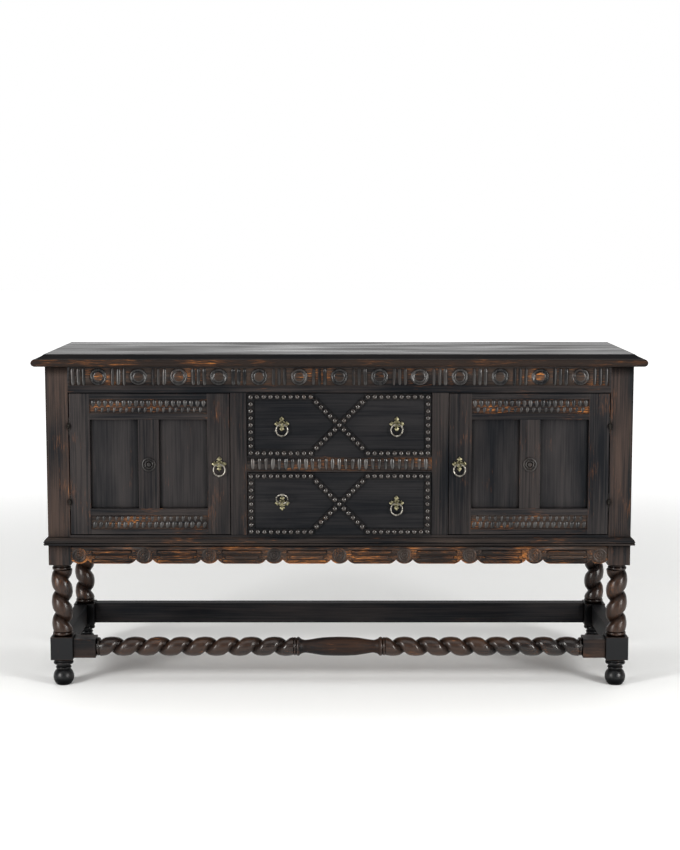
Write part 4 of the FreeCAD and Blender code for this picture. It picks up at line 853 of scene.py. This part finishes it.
class BUFFET_OT_frieze(bpy.types.Operator):
    """Carves the frieze rail with reeds and roundels"""

    bl_idname = "buffet.frieze"
    bl_label = "Carve the frieze"

    def execute(self, context):
        carving = context.scene.buffet_carving
        chance = random.Random(CHISEL_SEED)
        band = ((-FRIEZE_REACH, FRIEZE_BOTTOM), (FRIEZE_REACH, FRIEZE_TOP))
        carve("frieze_rail", plain_copy("frieze_rail"), "case", "front", (band,))
        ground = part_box("frieze_rail")[0].y + carving.ground_depth
        height = (FRIEZE_BOTTOM + FRIEZE_TOP) / 2
        reed = turned("reed", REED, FINE_STEPS)
        roundel = turned("roundel", ROUNDEL, WIDE_STEPS, ROUNDEL_HEART)
        bm = bmesh.new()
        for bay in range(carving.roundels + 1):
            centre = (bay - carving.roundels / 2) * carving.bay
            for strip in (-1, 0, 1):
                place = (centre + strip * carving.reed_pitch, ground, height)
                set_by_hand(bm, reed, place, REED_HAND, chance)
        for bay in range(carving.roundels):
            centre = (bay - (carving.roundels - 1) / 2) * carving.bay
            size = (1 + lean(chance, ROUNDEL_STRAY), 1 + lean(chance, ROUNDEL_STRAY), 1)
            set_in(bm, roundel, (centre, ground, height), size=size, way=FACING_FRONT)
        piece("frieze_carving", bm, "case", oak("relief", UPRIGHT), oak("ground", ACROSS))
        return {"FINISHED"}


class BUFFET_OT_drawer_rail(bpy.types.Operator):
    """Carves the rail between the drawers with upright spindles"""

    bl_idname = "buffet.drawer_rail"
    bl_label = "Carve the drawer rail"

    def execute(self, context):
        carving = context.scene.buffet_carving
        chance = random.Random(CHISEL_SEED + 1)
        low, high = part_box("drawer_rail")
        bottom = low.z + DRAWER_RAIL_EDGE
        top = high.z - DRAWER_RAIL_EDGE
        band = ((-DRAWER_RAIL_REACH, bottom), (DRAWER_RAIL_REACH, top))
        carve("drawer_rail", plain_copy("drawer_rail"), "case", "front", (band,))
        spindle = turned("spindle", SPINDLE, FINE_STEPS)
        bm = bmesh.new()
        count = int(2 * DRAWER_RAIL_REACH / carving.spindle_pitch)
        for number in range(count):
            across = (number - (count - 1) / 2) * carving.spindle_pitch
            place = (across, low.y + carving.ground_depth, (low.z + high.z) / 2)
            set_by_hand(bm, spindle, place, SPINDLE_HAND, chance)
        piece("drawer_rail_carving", bm, "case", oak("spindle", UPRIGHT))
        return {"FINISHED"}


class BUFFET_OT_door_rails(bpy.types.Operator):
    """Planes the doors' uprights, carves their rails with rows of tongues and sets the muntin roundels"""

    bl_idname = "buffet.door_rails"
    bl_label = "Carve the doors"

    def execute(self, context):
        carving = context.scene.buffet_carving
        chance = random.Random(CHISEL_SEED + 2)
        shapes = {"tongue": turned("tongue", TONGUE, FINE_STEPS), "drop": turned("drop", DROP, FINE_STEPS)}
        roundel = turned("muntin_roundel", MUNTIN_ROUNDEL, WIDE_STEPS)
        for side, sign in zip(SIDES, (-1, 1)):
            door = f"{side}_door"
            # The hinge stile is planed narrower than its blank, and the muntin stands midway in the frame.
            trim = Vector((sign * STILE_TRIM, 0, 0))
            low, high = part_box(f"{door}_stiles")
            shoulder = (low.x if sign < 0 else high.x) - sign * STILE_BLANK
            bm = plain_copy(f"{door}_stiles")
            slide(bm, shoulder, trim)
            planed(f"{door}_stiles", bm, door)
            bm = plain_copy(f"{door}_muntin")
            bmesh.ops.translate(bm, vec=trim / 2, verts=bm.verts)
            planed(f"{door}_muntin", bm, door)
            low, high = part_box(f"{door}_rails")
            middle = (low.x + high.x + trim.x) / 2
            left, right = middle - DOOR_BAND_HALF, middle + DOOR_BAND_HALF
            bm = plain_copy(f"{door}_rails")
            slide(bm, shoulder, trim)
            bands = [((left, band.bottom), (right, band.top)) for band in DOOR_BANDS]
            ease(carve(f"{door}_rails", bm, door, "front", bands))
            bm = bmesh.new()
            count = int(2 * DOOR_BAND_HALF / carving.tongue_pitch)
            for row in DOOR_ROWS:
                for number in range(count - round(2 * row.offset)):
                    across = middle + (number + row.offset - (count - 1) / 2) * carving.tongue_pitch
                    place = (across, low.y + carving.ground_depth, row.height)
                    set_by_hand(bm, shapes[row.shape], place, TONGUE_HAND, chance, row.slant)
            piece(f"{door}_carving", bm, door, oak("relief", UPRIGHT))
            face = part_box(f"{door}_muntin")[0].y
            bm = bmesh.new()
            set_in(bm, roundel, (middle, face, MUNTIN_ROUNDEL_HEIGHT), way=FACING_FRONT)
            piece(f"{door}_roundel", bm, door, oak("boss", UPRIGHT))
        return {"FINISHED"}


class BUFFET_OT_apron(bpy.types.Operator):
    """Carves the apron with rosettes, rolls and leaves"""

    bl_idname = "buffet.apron"
    bl_label = "Carve the apron"

    def execute(self, context):
        carving = context.scene.buffet_carving
        chance = random.Random(CHISEL_SEED + 3)
        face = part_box("front_apron")[0].y
        bays = [(gap - (carving.rosettes - 2) / 2) * carving.lobe for gap in range(carving.rosettes - 1)]
        bands = [((bay - BAY_HALF, BAY_BOTTOM), (bay + BAY_HALF, BAY_TOP)) for bay in bays]
        carve("front_apron", plain_copy("front_apron"), "case", "carved", bands)
        rosette = turned("rosette", ROSETTE, ROSETTE_STEPS, ROSETTE_HEART)
        roll = turned("roll", ROLL, FINE_STEPS)
        leaf = turned("leaf", DROP, FINE_STEPS)
        bm = bmesh.new()
        for lobe in range(carving.rosettes):
            centre = (lobe - (carving.rosettes - 1) / 2) * carving.lobe
            set_in(bm, rosette, (centre, face, ROSETTE_HEIGHT), way=FACING_FRONT)
            for sign in (-1, 1):
                across = centre + sign * APRON_LEAF_OFFSET
                if abs(across) < APRON_HALF:
                    for rise, turn in APRON_LEAVES:
                        place = (across, face, ROSETTE_HEIGHT + rise * MM)
                        set_in(bm, leaf, place, sign * turn, APRON_LEAF_SIZE)
        for bay in bays:
            for across, rise, radius, length in BAY_ROLLS:
                height = ROSETTE_HEIGHT + (rise + lean(chance, ROLL_RISE_STRAY)) * MM
                place = (bay + across * MM, face + carving.ground_depth, height)
                half_length = length * (1 + lean(chance, ROLL_LENGTH_STRAY)) / 2
                size = (radius, ROLL_FLAT * radius, half_length)
                set_in(bm, roll, place, lean(chance, ROLL_TURN_STRAY), size, LYING)
        piece("apron_carving", bm, "case", oak("carved", ACROSS), oak("rosette", UPRIGHT))
        return {"FINISHED"}


class BUFFET_OT_foot_rings(bpy.types.Operator):
    """Turns the full bead between each post's block and its ball foot"""

    bl_idname = "buffet.foot_rings"
    bl_label = "Turn the foot rings"

    def execute(self, context):
        ring = turned("foot_ring", FOOT_RING, WIDE_STEPS)
        bm = bmesh.new()
        for end in ("front", "rear"):
            for side in SIDES:
                low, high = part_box(f"{end}_{side}_post")
                set_in(bm, ring, ((low.x + high.x) / 2, (low.y + high.y) / 2, 0))
        piece("foot_rings", bm, "case", oak("leg", UPRIGHT))
        return {"FINISHED"}


# The studio: half the floor's width in metres and its segments, what the lights aim at, and the camera's
# sensor in millimetres.
FLOOR_HALF = 30
FLOOR_SEGMENTS = 8
LIGHT_AIM = Vector((0, 0, 0.55))
SENSOR_WIDTH = 36


def hang_lights(stage):
    """Two softboxes, a strip above the front and an overhead light that leaves no reflection."""
    boxes = (
        ("softbox_left", (-3.0, -2.9, 1.35), (0.9, 1.7), stage.softbox),
        ("softbox_right", (3.0, -2.9, 1.35), (0.9, 1.7), stage.softbox),
        ("overhead", (0.0, 0.45, 3.6), (4.5, 1.8), stage.overhead),
        ("strip", (0.0, -1.3, 3.2), (3.6, 2.4), stage.strip),
    )
    for name, place, size, power in boxes:
        lamp = bpy.data.lights.new(name, "AREA")
        lamp.shape = "RECTANGLE"
        lamp.size, lamp.size_y = size
        lamp.energy = power
        stand = new_object(name, lamp)
        stand.location = place
        aim = LIGHT_AIM - Vector(place)
        stand.rotation_euler = aim.to_track_quat("-Z", "Y").to_euler()
        stand.visible_glossy = name != "overhead"


def light_room(stage):
    """The backdrop is bright, the room before the buffet dim, and the camera sees plain white."""
    world = bpy.data.worlds.new("studio")
    world.use_nodes = True
    tree = world.node_tree
    tree.nodes.clear()
    way = add(tree, "SeparateXYZ", {}, {0: (add(tree, "TexCoord", {}, {}), "Generated")})
    glow = add(tree, "MapRange", {"interpolation_type": "SMOOTHSTEP"}, {
        "Value": (way, "Y"), "From Min": -0.1, "From Max": 0.7,
        "To Min": stage.front_fill, "To Max": stage.back_fill})
    low = add(tree, "MapRange", {"interpolation_type": "SMOOTHSTEP"}, {
        "Value": (way, "Z"), "From Min": 0.75, "From Max": 0.4, "To Min": 0.1})
    glow = add(tree, "Math", {"operation": "MULTIPLY"}, {0: glow, 1: low})
    seen = (add(tree, "LightPath", {}, {}), "Is Camera Ray")
    level = add(tree, "Math", {"operation": "MAXIMUM"}, {0: glow, 1: seen})
    sky = add(tree, "Background", {}, {"Color": (1, 1, 1, 1), "Strength": level})
    add(tree, "OutputWorld", {}, {"Surface": sky})
    return world


class BUFFET_OT_stage(bpy.types.Operator):
    """Lays the floor and sets the lights and camera"""

    bl_idname = "buffet.stage"
    bl_label = "Set the stage"

    def execute(self, context):
        scene = context.scene
        stage = scene.buffet_stage
        bm = bmesh.new()
        bmesh.ops.create_grid(
            bm, x_segments=FLOOR_SEGMENTS, y_segments=FLOOR_SEGMENTS, size=FLOOR_HALF)
        floor = new_object("floor", mesh_of("floor", bm))
        floor.data.materials.append(studio_paper(scene.buffet_finish))
        hang_lights(stage)
        scene.world = light_room(stage)
        lens = bpy.data.cameras.new("camera")
        lens.lens = stage.lens
        lens.sensor_width = SENSOR_WIDTH
        camera = new_object("camera", lens)
        camera.location = stage.eye
        camera.rotation_euler = (math.pi / 2 - stage.pitch, 0, 0)
        scene.camera = camera
        scene.view_settings.view_transform = "Standard"
        return {"FINISHED"}


GROUPS = {"buffet_carving": BuffetCarving, "buffet_finish": BuffetFinish, "buffet_stage": BuffetStage}
STEPS = (
    BUFFET_OT_case_finish, BUFFET_OT_door_finish, BUFFET_OT_drawer_finish, BUFFET_OT_pull_finish,
    BUFFET_OT_frieze, BUFFET_OT_drawer_rail, BUFFET_OT_door_rails, BUFFET_OT_apron, BUFFET_OT_foot_rings,
    BUFFET_OT_stage,
)


class BUFFET_PT_panel(bpy.types.Panel):
    """The buffet's steps and settings"""

    bl_idname = "BUFFET_PT_panel"
    bl_label = "Buffet"
    bl_space_type = "VIEW_3D"
    bl_region_type = "UI"
    bl_category = "Buffet"

    def draw(self, context):
        for step in STEPS:
            self.layout.operator(step.bl_idname)
        for group, kind in GROUPS.items():
            for name in kind.__annotations__:
                self.layout.prop(getattr(context.scene, group), name)


CLASSES = (*GROUPS.values(), *STEPS, BUFFET_PT_panel)


def register():
    for kind in CLASSES:
        bpy.utils.register_class(kind)
    for name, kind in GROUPS.items():
        setattr(bpy.types.Scene, name, PointerProperty(type=kind))


def unregister():
    for name in GROUPS:
        delattr(bpy.types.Scene, name)
    for kind in reversed(CLASSES):
        bpy.utils.unregister_class(kind)


def main():
    register()
    bpy.ops.buffet.case_finish()
    bpy.ops.buffet.door_finish()
    bpy.ops.buffet.drawer_finish()
    bpy.ops.buffet.pull_finish()
    bpy.ops.buffet.frieze()
    bpy.ops.buffet.drawer_rail()
    bpy.ops.buffet.door_rails()
    bpy.ops.buffet.apron()
    bpy.ops.buffet.foot_rings()
    bpy.ops.buffet.stage()


if __name__ == "__main__":
    main()
